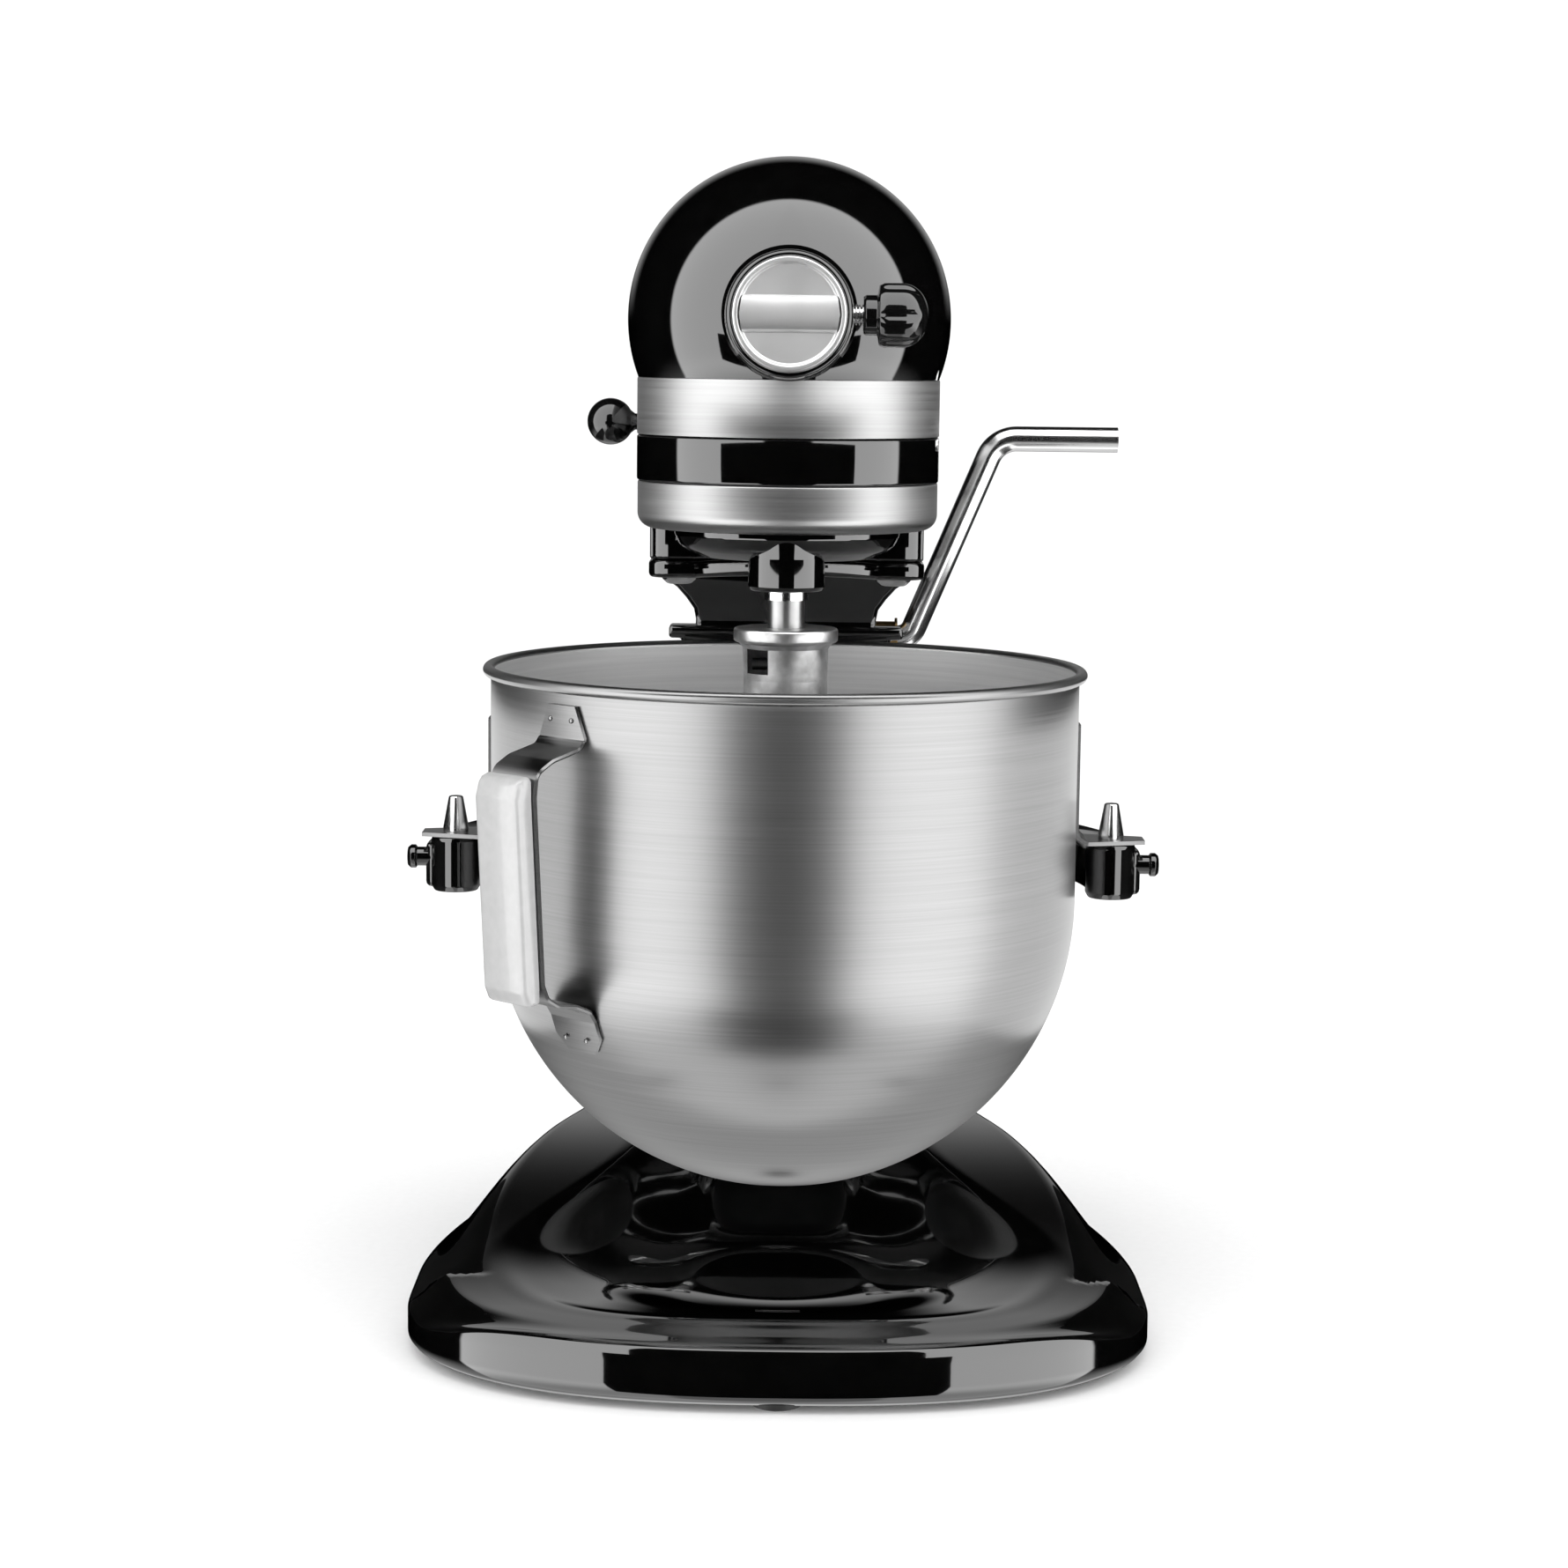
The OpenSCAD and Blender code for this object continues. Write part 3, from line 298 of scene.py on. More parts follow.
def soft_slab(bm, outline, z0, z1, soft=1.0, steps=4, lift=None):
    """Extruded outline whose rims are rounded by insetting the outline along its own normals."""
    n = len(outline)
    turn = sum(outline[i - 1][0] * outline[i][1] - outline[i][0] * outline[i - 1][1] for i in range(n))
    inward = 1 if turn > 0 else -1
    pushes = []
    for i in range(n):
        a, b, c = Vector(outline[i - 1]), Vector(outline[i]), Vector(outline[(i + 1) % n])
        u, v = (b - a).normalized(), (c - b).normalized()
        nu, nv = Vector((-u.y, u.x)) * inward, Vector((-v.y, v.x)) * inward
        mid = (nu + nv).normalized()
        pushes.append(mid / max(0.55, mid.dot(nu)))
    levels = []
    for k in range(steps + 1):
        a = pi / 2 * k / steps
        levels.append((soft * (1 - math.sin(a)), z0 + soft * (1 - math.cos(a))))
    levels += [(inset, z0 + z1 - z) for inset, z in levels[::-1]]
    rings = [[Vector((x + p.x * inset, y + p.y * inset, z)) for (x, y), p in zip(outline, pushes)]
             for inset, z in levels]
    if lift:
        rings = [[lift(q) for q in ring] for ring in rings]
    skin(bm, rings, cap_start=True, cap_end=True)


def box(bm, low, high, bevel):
    """Block between two corners, with its edges rounded."""
    x0, y0, z0 = low
    x1, y1, z1 = high
    slab(bm, [(x0, y0), (x1, y0), (x1, y1), (x0, y1)], z0, z1, bevel)


def tube(bm, path, radius, n=40, tip=1.6):
    """Round rod along a path, with softly rounded ends."""
    pts = [Vector(p) for p in path]
    side = Vector((0, 1, 0))
    stations = []
    for i, p in enumerate(pts):
        t = (pts[min(i + 1, len(pts) - 1)] - pts[max(i - 1, 0)]).normalized()
        u = side.cross(t).normalized()
        stations.append((p, t, u, t.cross(u).normalized()))

    def ring(station, along, r):
        """Circle of radius r round a station, moved along the path."""
        p, t, u, v = station
        return [p + t * along + (u * math.cos(2 * pi * k / n) + v * math.sin(2 * pi * k / n)) * r
                for k in range(n)]

    rings = []
    for k in range(5):
        a = k / 4 * pi / 2
        rings.append(ring(stations[0], tip * (1 - math.sin(a)), radius - tip * math.cos(a)))
    rings += [ring(station, 0, radius) for station in stations[1:-1]]
    for k in range(5):
        a = pi / 2 - k / 4 * pi / 2
        rings.append(ring(stations[-1], -tip * (1 - math.sin(a)), radius - tip * math.cos(a)))
    skin(bm, rings, cap_start=True, cap_end=True)


def smooth_step(a, b, x):
    """Smooth 0 to 1 step as x goes from a to b; a falling step when a is above b."""
    t = min(1, max(0, (x - a) / (b - a)))
    return t * t * (3 - 2 * t)


def arc(cx, cy, r, a0, a1, steps):
    """Points of an arc between two angles in degrees."""
    return [(cx + r * math.cos(math.radians(a0 + (a1 - a0) * k / steps)),
             cy + r * math.sin(math.radians(a0 + (a1 - a0) * k / steps))) for k in range(steps + 1)]


# ---------------------------------------------------------------- head

# The head's length runs along Y: a half ball in front, then a straight part, a slow taper and a rounded end
HEAD_R, HEAD_Z, TAPER_Y, COVER_Y, END_Y, END_R = 56.2, 349.0, 30.0, 158.0, 170.0, 26.0
HEAD_CURVE, SKIRT_CURVE = 1050, 979
BAND_TOP, BAND_LOW, SKIRT_LOW, TRIM_R = 329.0, 309.0, 293.2, 52.8


def head_radius(y):
    """Radius of the rounded top at depth y."""
    if y < 0:
        return math.sqrt(max(0, HEAD_R ** 2 - y * y))
    if y < TAPER_Y:
        return HEAD_R
    if y <= END_Y:
        return HEAD_R - HEAD_CURVE + math.sqrt(HEAD_CURVE ** 2 - (y - TAPER_Y) ** 2)
    end = HEAD_R - HEAD_CURVE + math.sqrt(HEAD_CURVE ** 2 - (END_Y - TAPER_Y) ** 2)
    return end - END_R + math.sqrt(max(0, END_R ** 2 - (y - END_Y) ** 2))


def skirt_half(y, inset):
    """Half width of the head's straight skirt at depth y."""
    if y < TAPER_Y:
        return TRIM_R - inset
    return TRIM_R - inset - SKIRT_CURVE + math.sqrt(SKIRT_CURVE ** 2 - (y - TAPER_Y) ** 2)


def skirt_plan(inset, rear):
    """Plan outline of the head's straight skirt, from the right rear round the nose to the left rear."""
    side = [rear - (rear - 1) * k / 24 for k in range(25)]
    right = [(skirt_half(y, inset), y) for y in side]
    nose = [((TRIM_R - inset) * math.cos(a), (TRIM_R - inset) * math.sin(a)) for a in
            [-pi * k / 96 for k in range(97)]]
    return right + nose + [(-x, y) for x, y in right[::-1]]


def wall(bm, levels, rear=COVER_Y):
    """Open wall through plan outlines at several heights: (height, inset)."""
    skin(bm, [[Vector((x, y, z)) for x, y in skirt_plan(inset, rear)] for z, inset in levels], closed=False)


front = [(0, -HEAD_R)] + [(HEAD_R * math.sin(a * pi / 180), -HEAD_R * math.cos(a * pi / 180)) for a in
                          [0.6 + 1.8 * k for k in range(50)]] + [(head_radius(y), y) for y in range(2, 157, 3)]
front += [(head_radius(157) - 0.05, 157.2), (head_radius(157) - 0.5, 157.9), (head_radius(157) - 3, 158)]
bm = bmesh.new()
lathe(bm, front, "Y", (0, 0, HEAD_Z), n=224)
bmesh.ops.bisect_plane(bm, geom=bm.verts[:] + bm.edges[:] + bm.faces[:], plane_co=(0, 0, BAND_TOP - 0.4),
                       plane_no=(0, 0, 1), clear_inner=True)
wall(bm, [(BAND_TOP + 0.3, 3), (BAND_TOP + 0.3, 0.55), (BAND_TOP + 0.1, 0.45), (BAND_TOP - 0.1, 0.6),
          (BAND_TOP - 0.2, 1.2)])
wall(bm, [(BAND_LOW, 1.2), (BAND_LOW - 0.1, 0.5), (BAND_LOW - 0.5, 0.05), (BAND_LOW - 1, 0),
          (SKIRT_LOW + 1, 0), (SKIRT_LOW + 0.5, 0.1), (SKIRT_LOW + 0.1, 0.5), (SKIRT_LOW, 1.2), (SKIRT_LOW, 3)])
finish_mesh("head_shell", bm, "frame", "black_enamel", ["head_housing"])

bm = bmesh.new()
wall(bm, [(BAND_TOP - 0.15, 1.2), (BAND_TOP - 0.15, 0.35), (BAND_TOP - 0.35, 0.08), (BAND_TOP - 0.7, 0),
          (BAND_LOW + 0.7, 0), (BAND_LOW + 0.35, 0.08), (BAND_LOW + 0.15, 0.35), (BAND_LOW + 0.15, 1.2)],
     rear=157.9)
finish_mesh("trim_band_skin", bm, "frame", "brushed_trim", ["trim_band"])

# ---------------------------------------------------------------- drip cup

bm = bmesh.new()
cup = fillet([(41.5, 284.7), (41.5, 276.7), (52.5, 276.7), (52.5, 293.1), (51, 293.1)],
             [0, 0.7, 6.5, 0.6, 0], 8)
lathe(bm, cup, n=160)
finish_mesh("drip_cup_skin", bm, "frame", "brushed_trim", ["drip_cup"])

# ---------------------------------------------------------------- attachment hub

HUB_Z = 350.3
HUB = (0, 0, HUB_Z)
THUMB = (0, -72, HUB_Z)
bm = bmesh.new()
lathe(bm, fillet([(15.9, -70), (16, -79.5), (20.8, -79.5), (20.8, -60), (21.6, -53.5), (23.5, -50)],
                 [0, 0.4, 1.4, 3, 1.5, 0], 6), "Y", HUB, 128)
finish_mesh("hub_ring", bm, "frame", "black_enamel", ["attachment_hub"])

bm = bmesh.new()
lathe(bm, fillet([(0, -81.9), (16.2, -81.9), (16.9, -83.4), (18.5, -83.4), (19.1, -81.6), (19.1, -79.9),
                  (15.7, -79.9), (15.7, -66), (13.5, -66)],
                 [0, 0.5, 0.5, 0.7, 0.4, 0.2, 0, 0, 0], 5), "Y", HUB, 128)
# Bar across the face, raised with sloping sides
bar_half = 6.2
sections = []
for z, y in ((-bar_half, -81.8), (-bar_half + 0.9, -83.3), (-bar_half + 1.5, -83.7), (0, -83.9),
             (bar_half - 1.5, -83.7), (bar_half - 0.9, -83.3), (bar_half, -81.8)):
    x = math.sqrt(max(1, 16.4 ** 2 - z * z))
    sections.append([Vector((x * across, y, HUB_Z + z)) for across in (-1, -0.5, 0.5, 1)])
skin(bm, sections, closed=False)
finish_mesh("hub_cover_disc", bm, "hub_cover", "polished_steel", ["hub_cap"], look="satin_steel")

# Thumb screw and its fluted knob
bm = bmesh.new()
thread = [(0, 16.3)]
x = 17.0
while x < 24.2:
    thread += [(2.6, x), (3.45, x + 0.35), (3.45, x + 0.5), (2.6, x + 0.85)]
    x += 1.1
thread += [(3.0, 24.6), (3.0, 30), (0, 30)]
lathe(bm, thread, "X", THUMB, 40)
finish_mesh("thumb_stem", bm, "hub_screw", "polished_steel", ["thumb_screw"])


def flutes(a, x):
    """Six shallow hollows round the knob, fading out at both ends."""
    depth = 0.0 if x < 29.6 else 0.10 * smooth_step(29.6, 31, x) * smooth_step(44.4, 40, x)
    c = math.cos(6 * (a + pi / 2 + pi / 6))
    return 1 - depth * max(0.0, c) ** 2


bm = bmesh.new()
knob = fillet([(0, 24.2), (5.9, 24.2), (6.6, 25), (6.6, 28.8), (9.8, 29.3), (10.5, 31)],
              [0, 0.3, 0.4, 0.5, 0.7, 0], 5)
knob += [(10.5, 31 + 1.4 * k) for k in range(1, 5)]
knob += [(10.5 * math.cos(t * pi / 180), 37 + 8.6 * math.sin(t * pi / 180)) for t in range(4, 90, 5)]
knob += [(0, 45.6)]
lathe(bm, knob, "X", THUMB, 160, flutes)
finish_mesh("thumb_grip", bm, "hub_screw", "black_plastic", ["thumb_knob"])

# ---------------------------------------------------------------- speed lever knob

bm = bmesh.new()
ball = [(0, -74.3)]
ball += [(8.6 * math.sin(t * pi / 180), -65.7 - 8.6 * math.cos(t * pi / 180)) for t in range(8, 142, 6)]
ball += [(4.2, -58.2), (3.0, -56.6), (3.0, -55.4), (0, -55.4)]
lathe(bm, ball, "X", (0, 70, 311.8), 96)
finish_mesh("speed_ball", bm, "speed_control", "black_plastic", ["speed_knob"])

# ---------------------------------------------------------------- base

BASE_W, REAR_W, NOSE_Y, BASE_FRONT, BASE_END, FLOOR = 127.5, 97.5, -45.0, -140.0, 198.0, 2.2
PAD_Z, MID = 44.0, (0.0, 20.0)
RAW, EVEN = 4000, 400


def spow(v, e):
    """Power that keeps the sign."""
    return math.copysign(abs(v) ** e, v)


def outline(a):
    """Plan outline of the base at an angle: a blunt front and a long, narrowing rear."""
    c, s = math.cos(a), math.sin(a)
    if s < 0:
        return BASE_W * spow(c, 0.8), NOSE_Y - (NOSE_Y - BASE_FRONT) * (-s) ** 0.8
    y = NOSE_Y + (BASE_END - NOSE_Y) * s ** 0.55
    return (BASE_W - (BASE_W - REAR_W) * smooth_step(-20, 180, y)) * spow(c, 0.36), y


def tray_reach(x, y):
    """How far out in the tray a point lies: 0 in its middle, 1 on its edge."""
    w = 95 - 38 * smooth_step(-60, 60, y)
    return ((abs(x) / w) ** 3 + (abs(y + 22) / (84 if y < -22 else 120)) ** 3) ** (1 / 3)


def tray(x, y):
    """Depth of the tray's hollow, from 1 in the middle to 0 outside."""
    return 1 - smooth_step(0.4, 1.12, tray_reach(x, y))


def wall_top(y):
    """Height of the side wall, which rises to the front lip."""
    return 12 + 8 * smooth_step(-85, -128, y) if y < -85 else 12


def base_top(x, y, k):
    """Height of the base's upper face at a point that lies at share k of the way to the outline."""
    top = wall_top(y)
    edge = smooth_step(1, 0.9 if y < -60 else 0.79, k)
    round_in = math.sqrt(max(0, 1 - (1 - min(1, (1 - k) / 0.025)) ** 2))
    rim = top + 2 * round_in
    deck = 21.5 + 22.5 * smooth_step(-95, 95, y)
    opened = rim + (deck - rim) * edge
    far = math.hypot(max(abs(x) - 50, 0) / 34, max(y - 184, 0) / 12, max(122 - y, 0) / 24)
    full = opened + (PAD_Z - opened) * (1 - smooth_step(0, 1, far))
    dish = 8.4 + 6 * smooth_step(30, 90, math.hypot(x, y))
    crease = 0.5 * math.exp(-((tray_reach(x, y) - 1.0) / 0.05) ** 2) * smooth_step(-30, -75, y)
    return full + (min(full, dish) - full) * tray(x, y) + crease


# Outline in even steps
raw = [outline(2 * pi * i / RAW) for i in range(RAW)]
lengths = [0.0]
for i in range(RAW):
    p, q = raw[i], raw[(i + 1) % RAW]
    lengths.append(lengths[-1] + math.hypot(q[0] - p[0], q[1] - p[1]))
even, j = [], 0
for i in range(EVEN):
    want = lengths[-1] * i / EVEN
    while lengths[j + 1] < want:
        j += 1
    t = (want - lengths[j]) / (lengths[j + 1] - lengths[j])
    p, q = raw[j % RAW], raw[(j + 1) % RAW]
    even.append((p[0] + (q[0] - p[0]) * t, p[1] + (q[1] - p[1]) * t))


def shrunk(k):
    """The outline drawn in to share k about the base's middle."""
    return [(MID[0] + (x - MID[0]) * k, MID[1] + (y - MID[1]) * k) for x, y in even]


rings = [[Vector((x, y, z)) for x, y in shrunk(k)]
         for k, z in ((0.9, FLOOR), (1 - 2.5 / 128, FLOOR), (1 - 1 / 128, FLOOR + 1.2))]
for t in (0, 0.25, 0.5, 0.75):
    rings.append([Vector((x, y, FLOOR + 2.6 + (wall_top(y) - FLOOR - 2.6) * t)) for x, y in even])
for k in [1, 0.9985, 0.996, 0.993, 0.989, 0.984, 0.978] + [0.97 - 0.0125 * i for i in range(76)] + [0.012]:
    rings.append([Vector((x, y, base_top(x, y, k))) for x, y in shrunk(k)])
bm = bmesh.new()
skin(bm, rings, cap_end=True)
base_piece = finish_mesh("base_body", bm, "frame", "black_enamel", ["base_casting"], angle=60)
base_piece.visible_glossy = False  # a look choice: the bowl's underside stays bright

# ---------------------------------------------------------------- bowl

BOWL_R, BOWL_Z, RIM_Z, ROLL, SHEET = 103.5, 147.0, 228.7, 2.0, 1.2
floor_z = BOWL_Z - math.sqrt(BOWL_R ** 2 - 28 ** 2)
outer = [(0, floor_z)] + [(28 * k / 6, floor_z) for k in range(1, 6)]
outer += [(BOWL_R * math.sin(t * pi / 180), BOWL_Z - BOWL_R * math.cos(t * pi / 180)) for t in
          [16 + 74 * k / 48 for k in range(49)]]
outer += [(BOWL_R, BOWL_Z + (RIM_Z - 6.5 - BOWL_Z) * k / 12) for k in range(1, 13)]
outer.append((BOWL_R, RIM_Z - 5))
roll = arc(BOWL_R + ROLL - SHEET, RIM_Z - ROLL, ROLL, -120, 180, 26)
inner_r = BOWL_R - SHEET
inside = [(inner_r, RIM_Z - 4 - (RIM_Z - 4 - BOWL_Z) * k / 12) for k in range(13)]
inside += [(inner_r * math.sin(t * pi / 180), BOWL_Z - inner_r * math.cos(t * pi / 180)) for t in
           [90 - 73 * k / 48 for k in range(1, 49)]] + [(0, floor_z + SHEET)]
bm = bmesh.new()
lathe(bm, outer + roll, n=256)
finish_mesh("bowl_body", bm, "bowl_lift", "bowl_steel", ["bowl_shell"], angle=50)
# The inside gets a lighter, partly matte copy of the bowl steel: painted light for the light that bounces
# inside the bowl
bm = bmesh.new()
lathe(bm, [roll[-1]] + inside, n=256)
for f in bm.faces:
    f.normal_flip()
finish_mesh("bowl_inside", bm, "bowl_lift", "bowl_steel", ["bowl_shell"], angle=50, look="bowl_inside_painted_light")

# Handle strap: a bent band, thicker than a sheet, with softened edges
TURN = Matrix.Rotation(math.radians(-45), 4, "Z")
STRAP_HALF, STRAP_THICK = 11.5, 0.7


def on_handle(r, side, z):
    """A point given by its distance from the bowl's axis, its place across the handle and its height."""
    return TURN @ Vector((side, -r, z))


strap = [(104.4, 221), (104.4, 209.6), (106.5, 207), (118, 204.2), (124.8, 200.5), (125.6, 192.5), (121.8, 130),
         (119.8, 125.2), (115, 122.4), (107, 121.2), (101.8, 118.6), (99.3, 115), (96.9, 108.5), (94.6, 103)]
strap = fillet(strap, [0, 3, 3, 8, 5, 6, 4, 4, 4, 4, 4, 3, 0, 0], 5)
bm = bmesh.new()
sections = []
for i, p in enumerate(strap):
    a = Vector(strap[max(i - 1, 0)])
    b = Vector(strap[min(i + 1, len(strap) - 1)])
    t = (b - a).normalized()
    nrm = Vector((-t.y, t.x))
    if nrm.x < 0:
        nrm = -nrm
    taper = 1.0
    for end in (0, len(strap) - 1):
        away = (Vector(strap[end]) - Vector(p)).length
        if away < 4:
            taper = min(taper, 0.62 + 0.38 * math.sqrt(max(0, 1 - (1 - away / 4) ** 2)))
    w = STRAP_HALF * taper
    sec = []
    for s, h in ((-w, 0), (-w + 0.5, 1), (-w * 0.5, 1), (0, 1), (w * 0.5, 1), (w - 0.5, 1), (w, 0),
                 (w - 0.5, -1), (0, -1), (-w + 0.5, -1)):
        h *= STRAP_THICK
        # The tabs wrap round the bowl a little
        sag = -(BOWL_R - math.sqrt(BOWL_R ** 2 - s * s)) if p[0] < 104.6 else 0
        sec.append(on_handle(p[0] + nrm.x * h + sag, s, p[1] + nrm.y * h))
    sections.append(sec)
skin(bm, sections, cap_start=True, cap_end=True)
for side in (-5.2, 5.2):
    for r, z in ((105.2, 216.2), (97.9, 107.4)):
        centre = on_handle(r, side, z)
        dent = bmesh.ops.create_uvsphere(bm, u_segments=16, v_segments=8, radius=0.9)["verts"]
        for v in dent:
            v.co = Matrix.Scale(0.5, 4, TURN @ Vector((0, -1, 0))) @ v.co + centre
finish_mesh("handle_strap", bm, "bowl_lift", "bowl_steel", ["bowl_handle"])

# Grip: a soft-edged block that hugs the strap
bm = bmesh.new()
grip = fillet([(126.5, 200.4), (132.2, 198.4), (133.8, 192.5), (129.9, 128), (127.8, 123.2), (122.6, 123.6),
               (122.7, 130), (126.4, 192.5)], [1.5, 4, 3, 4, 2, 1, 0, 0], 5, closed=True)
sections = []
for s, inset in ((-10.6, 1.8), (-10.3, 0.8), (-9.5, 0.2), (-8.3, 0), (0, 0), (8.3, 0), (9.5, 0.2), (10.3, 0.8),
                 (10.6, 1.8)):
    sec = []
    for r, z in grip:
        middle = 127.9 + (z - 158) * 0.064
        most = inset * (1 if r > middle else 0.4)
        r -= math.copysign(min(abs(r - middle), most), r - middle)
        if abs(z - 158) > 20:
            z -= math.copysign(inset * 0.8, z - 158)
        sec.append(on_handle(r, s, z))
    sections.append(sec)
skin(bm, sections, cap_start=True, cap_end=True)
finish_mesh("grip_body", bm, "bowl_lift", "grip_white", ["handle_grip"])

# ---------------------------------------------------------------- lift rod

ROD_Z, ROD_TOP, ROD_TURN, BEND_X = 226.5, 305.2, math.radians(67.3), 89.7
path = [(9.5, ROD_Z), (20, ROD_Z), (40, ROD_Z)]
path += [(44.2 + 7 * math.sin(a), ROD_Z + 7 - 7 * math.cos(a)) for a in [ROD_TURN * k / 10 for k in range(11)]]
high = [(BEND_X - 12 * math.sin(ROD_TURN - a), ROD_TOP - 12 + 12 * math.cos(ROD_TURN - a)) for a in
        [ROD_TURN * k / 14 for k in range(15)]]
low_end, high_end = Vector(path[-1]), Vector(high[0])
path += [tuple(low_end.lerp(high_end, k / 6)) for k in range(1, 6)] + high
path += [(BEND_X + (129.2 - BEND_X) * k / 6, ROD_TOP) for k in range(1, 7)]
bm = bmesh.new()
tube(bm, [(x, 146, z) for x, z in path], 4.9, tip=3.2)
finish_mesh("lift_bar", bm, "lift_handle", "polished_steel", ["lift_rod"])

# ---------------------------------------------------------------- planetary and beater

BEATER_Y = -25
bm = bmesh.new()
disc = fillet([(9, 267.2), (30, 266.6), (37.4, 270), (39.5, 274.5), (39.5, 278.6), (36, 278.6)],
              [0, 3, 6, 2, 0.5, 0], 6)
lathe(bm, disc, n=128)
lathe(bm, fillet([(6.6, 256.6), (12.4, 256.6), (13.2, 258), (13.2, 268), (14.5, 276)], [0, 0.8, 1.2, 3, 0], 6),
      "Z", (0, BEATER_Y, 0), 96)
lathe(bm, [(9, 271), (9, 266.8), (8, 266.4), (0.0, 266.4)], "Z", (0, 0, 0), 64)
finish_mesh("planetary_body", bm, "planetary", "black_enamel", ["planetary_casting"])

# Beater hub with its window for the drive pin, and the flat blade
bm = bmesh.new()
hub = fillet([(6.5, 236), (6.5, 243.8), (18, 243.8), (18, 239.2), (16.3, 238.6), (14.8, 236.9), (14.6, 228.4),
              (14.5, 226), (14.7, 200), (13.6, 190), (10, 184), (0, 183)],
             [0, 0.5, 1.1, 1.1, 0.8, 0.3, 0, 4, 4, 4, 3, 0], 5)
lathe(bm, hub, "Z", (0, BEATER_Y, 0), 120)
gone = []
for f in bm.faces:
    c = f.calc_center_median()
    angle = math.degrees(math.atan2(c.y - BEATER_Y, c.x)) % 360
    if 228.4 < c.z < 236.8 and math.hypot(c.x, c.y - BEATER_Y) > 12 and 208 < angle < 246:
        gone.append(f)
bmesh.ops.delete(bm, geom=gone, context="FACES")


def ribbon(bm, path, half_w, half_d, closed, n=16):
    """Bar of oval section along a path in the XZ plane."""
    rings = []
    count = len(path)
    for i, p in enumerate(path):
        a = Vector(path[i - 1]) if closed or i else Vector(p)
        b = Vector(path[(i + 1) % count]) if closed or i < count - 1 else Vector(p)
        t = (b - a).normalized()
        nrm = Vector((-t.y, t.x))
        ring = []
        for k in range(n):
            c, q = math.cos(2 * pi * k / n), math.sin(2 * pi * k / n)
            u = math.copysign(abs(c) ** 0.7, c) * half_w
            v = math.copysign(abs(q) ** 0.7, q) * half_d
            ring.append(Vector((p[0] + nrm.x * u, BEATER_Y + v, p[1] + nrm.y * u)))
        rings.append(ring)
    if closed:
        rings.append(rings[0])
        rows = skin(bm, rings)
        bmesh.ops.remove_doubles(bm, verts=rows[0] + rows[-1], dist=1e-5)
    else:
        skin(bm, rings, cap_start=True, cap_end=True)


leaf = fillet([(-40, 188), (40, 188), (55, 176), (55, 118), (6, 62), (-6, 62), (-55, 118), (-55, 176)],
              [10, 10, 14, 26, 8, 8, 26, 14], 8, closed=True)
ribbon(bm, leaf, 5.0, 4.0, True)
ribbon(bm, [(0, 64), (0, 100), (0, 140), (0, 186)], 4.2, 3.4, False)
ribbon(bm, [(-54, 122), (-20, 122), (20, 122), (54, 122)], 3.8, 3.2, False)
for sgn in (-1, 1):
    ribbon(bm, [(sgn * 13, 66), (sgn * 20, 94), (sgn * 34, 150), (sgn * 36, 186)], 3.6, 3.0, False)
finish_mesh("beater_blade", bm, "beater", "burnished_aluminium", ["flat_beater"], angle=45)

# ---------------------------------------------------------------- lower gear case, column, yoke


def turned_slab(bm, outline_xz, y0, y1, bevel):
    """Slab drawn in the XZ plane and extruded along Y."""
    slab(bm, outline_xz, 0, y1 - y0, bevel, 4, lambda c: Vector((c.x, y1 - c.z, c.y)))


def u_plan(half, front, inner, end, corner):
    """Plan of the gear case: a hollow front with a rounded corner on each side, narrowing to the rear."""
    side = math.degrees(math.asin(front / inner))
    hollow = arc(0, 0, inner, 180 - side, side, 40)
    right = [(half, front), (half, 60), (half - 0.6, 100), (half - 6, 170), (half - 13, end)]
    pts = [hollow[-1]] + right + [(-x, y) for x, y in right[::-1]] + [hollow[0]]
    return fillet(pts, [0, corner, 0, 0, 12, 12, 12, 12, 0, 0, corner, 0], 8) + hollow[1:-1]


bm = bmesh.new()
soft_slab(bm, u_plan(49.2, 27.3, 53.1, 190, 1.2), 263.7, 293.1, 1.0)
soft_slab(bm, u_plan(49.2, 25.0, 41.4, 189, 7.5), 263.6, 276.3, 1.2)
finish_mesh("gear_case", bm, "frame", "black_enamel", ["gearcase_lower"], angle=45)

bm = bmesh.new()
waist = [(43, 60), (43, 218), (35.2, 228), (35, 234.8), (35.8, 238.8), (38.8, 243), (42.4, 247), (48.0, 251),
         (49.4, 253), (49.4, 257.2)]
foot = arc(57, 58, 14, 260, 180, 8)
neck = [(59, 44)] + foot[:-1] + waist
neck += [(-x, z) for x, z in neck[::-1]]
COLUMN_FRONT, COLUMN_BACK = 122.5, 182
soft_slab(bm, neck, 0, COLUMN_BACK - COLUMN_FRONT, 2.2, 4, lambda c: Vector((c.x, COLUMN_BACK - c.z, c.y)))
soft_slab(bm, u_plan(49.7, 24.4, 41.0, 184, 8), 257.0, 263.4, 1.6)
finish_mesh("column_body", bm, "frame", "black_enamel", ["column_casting"], angle=45)

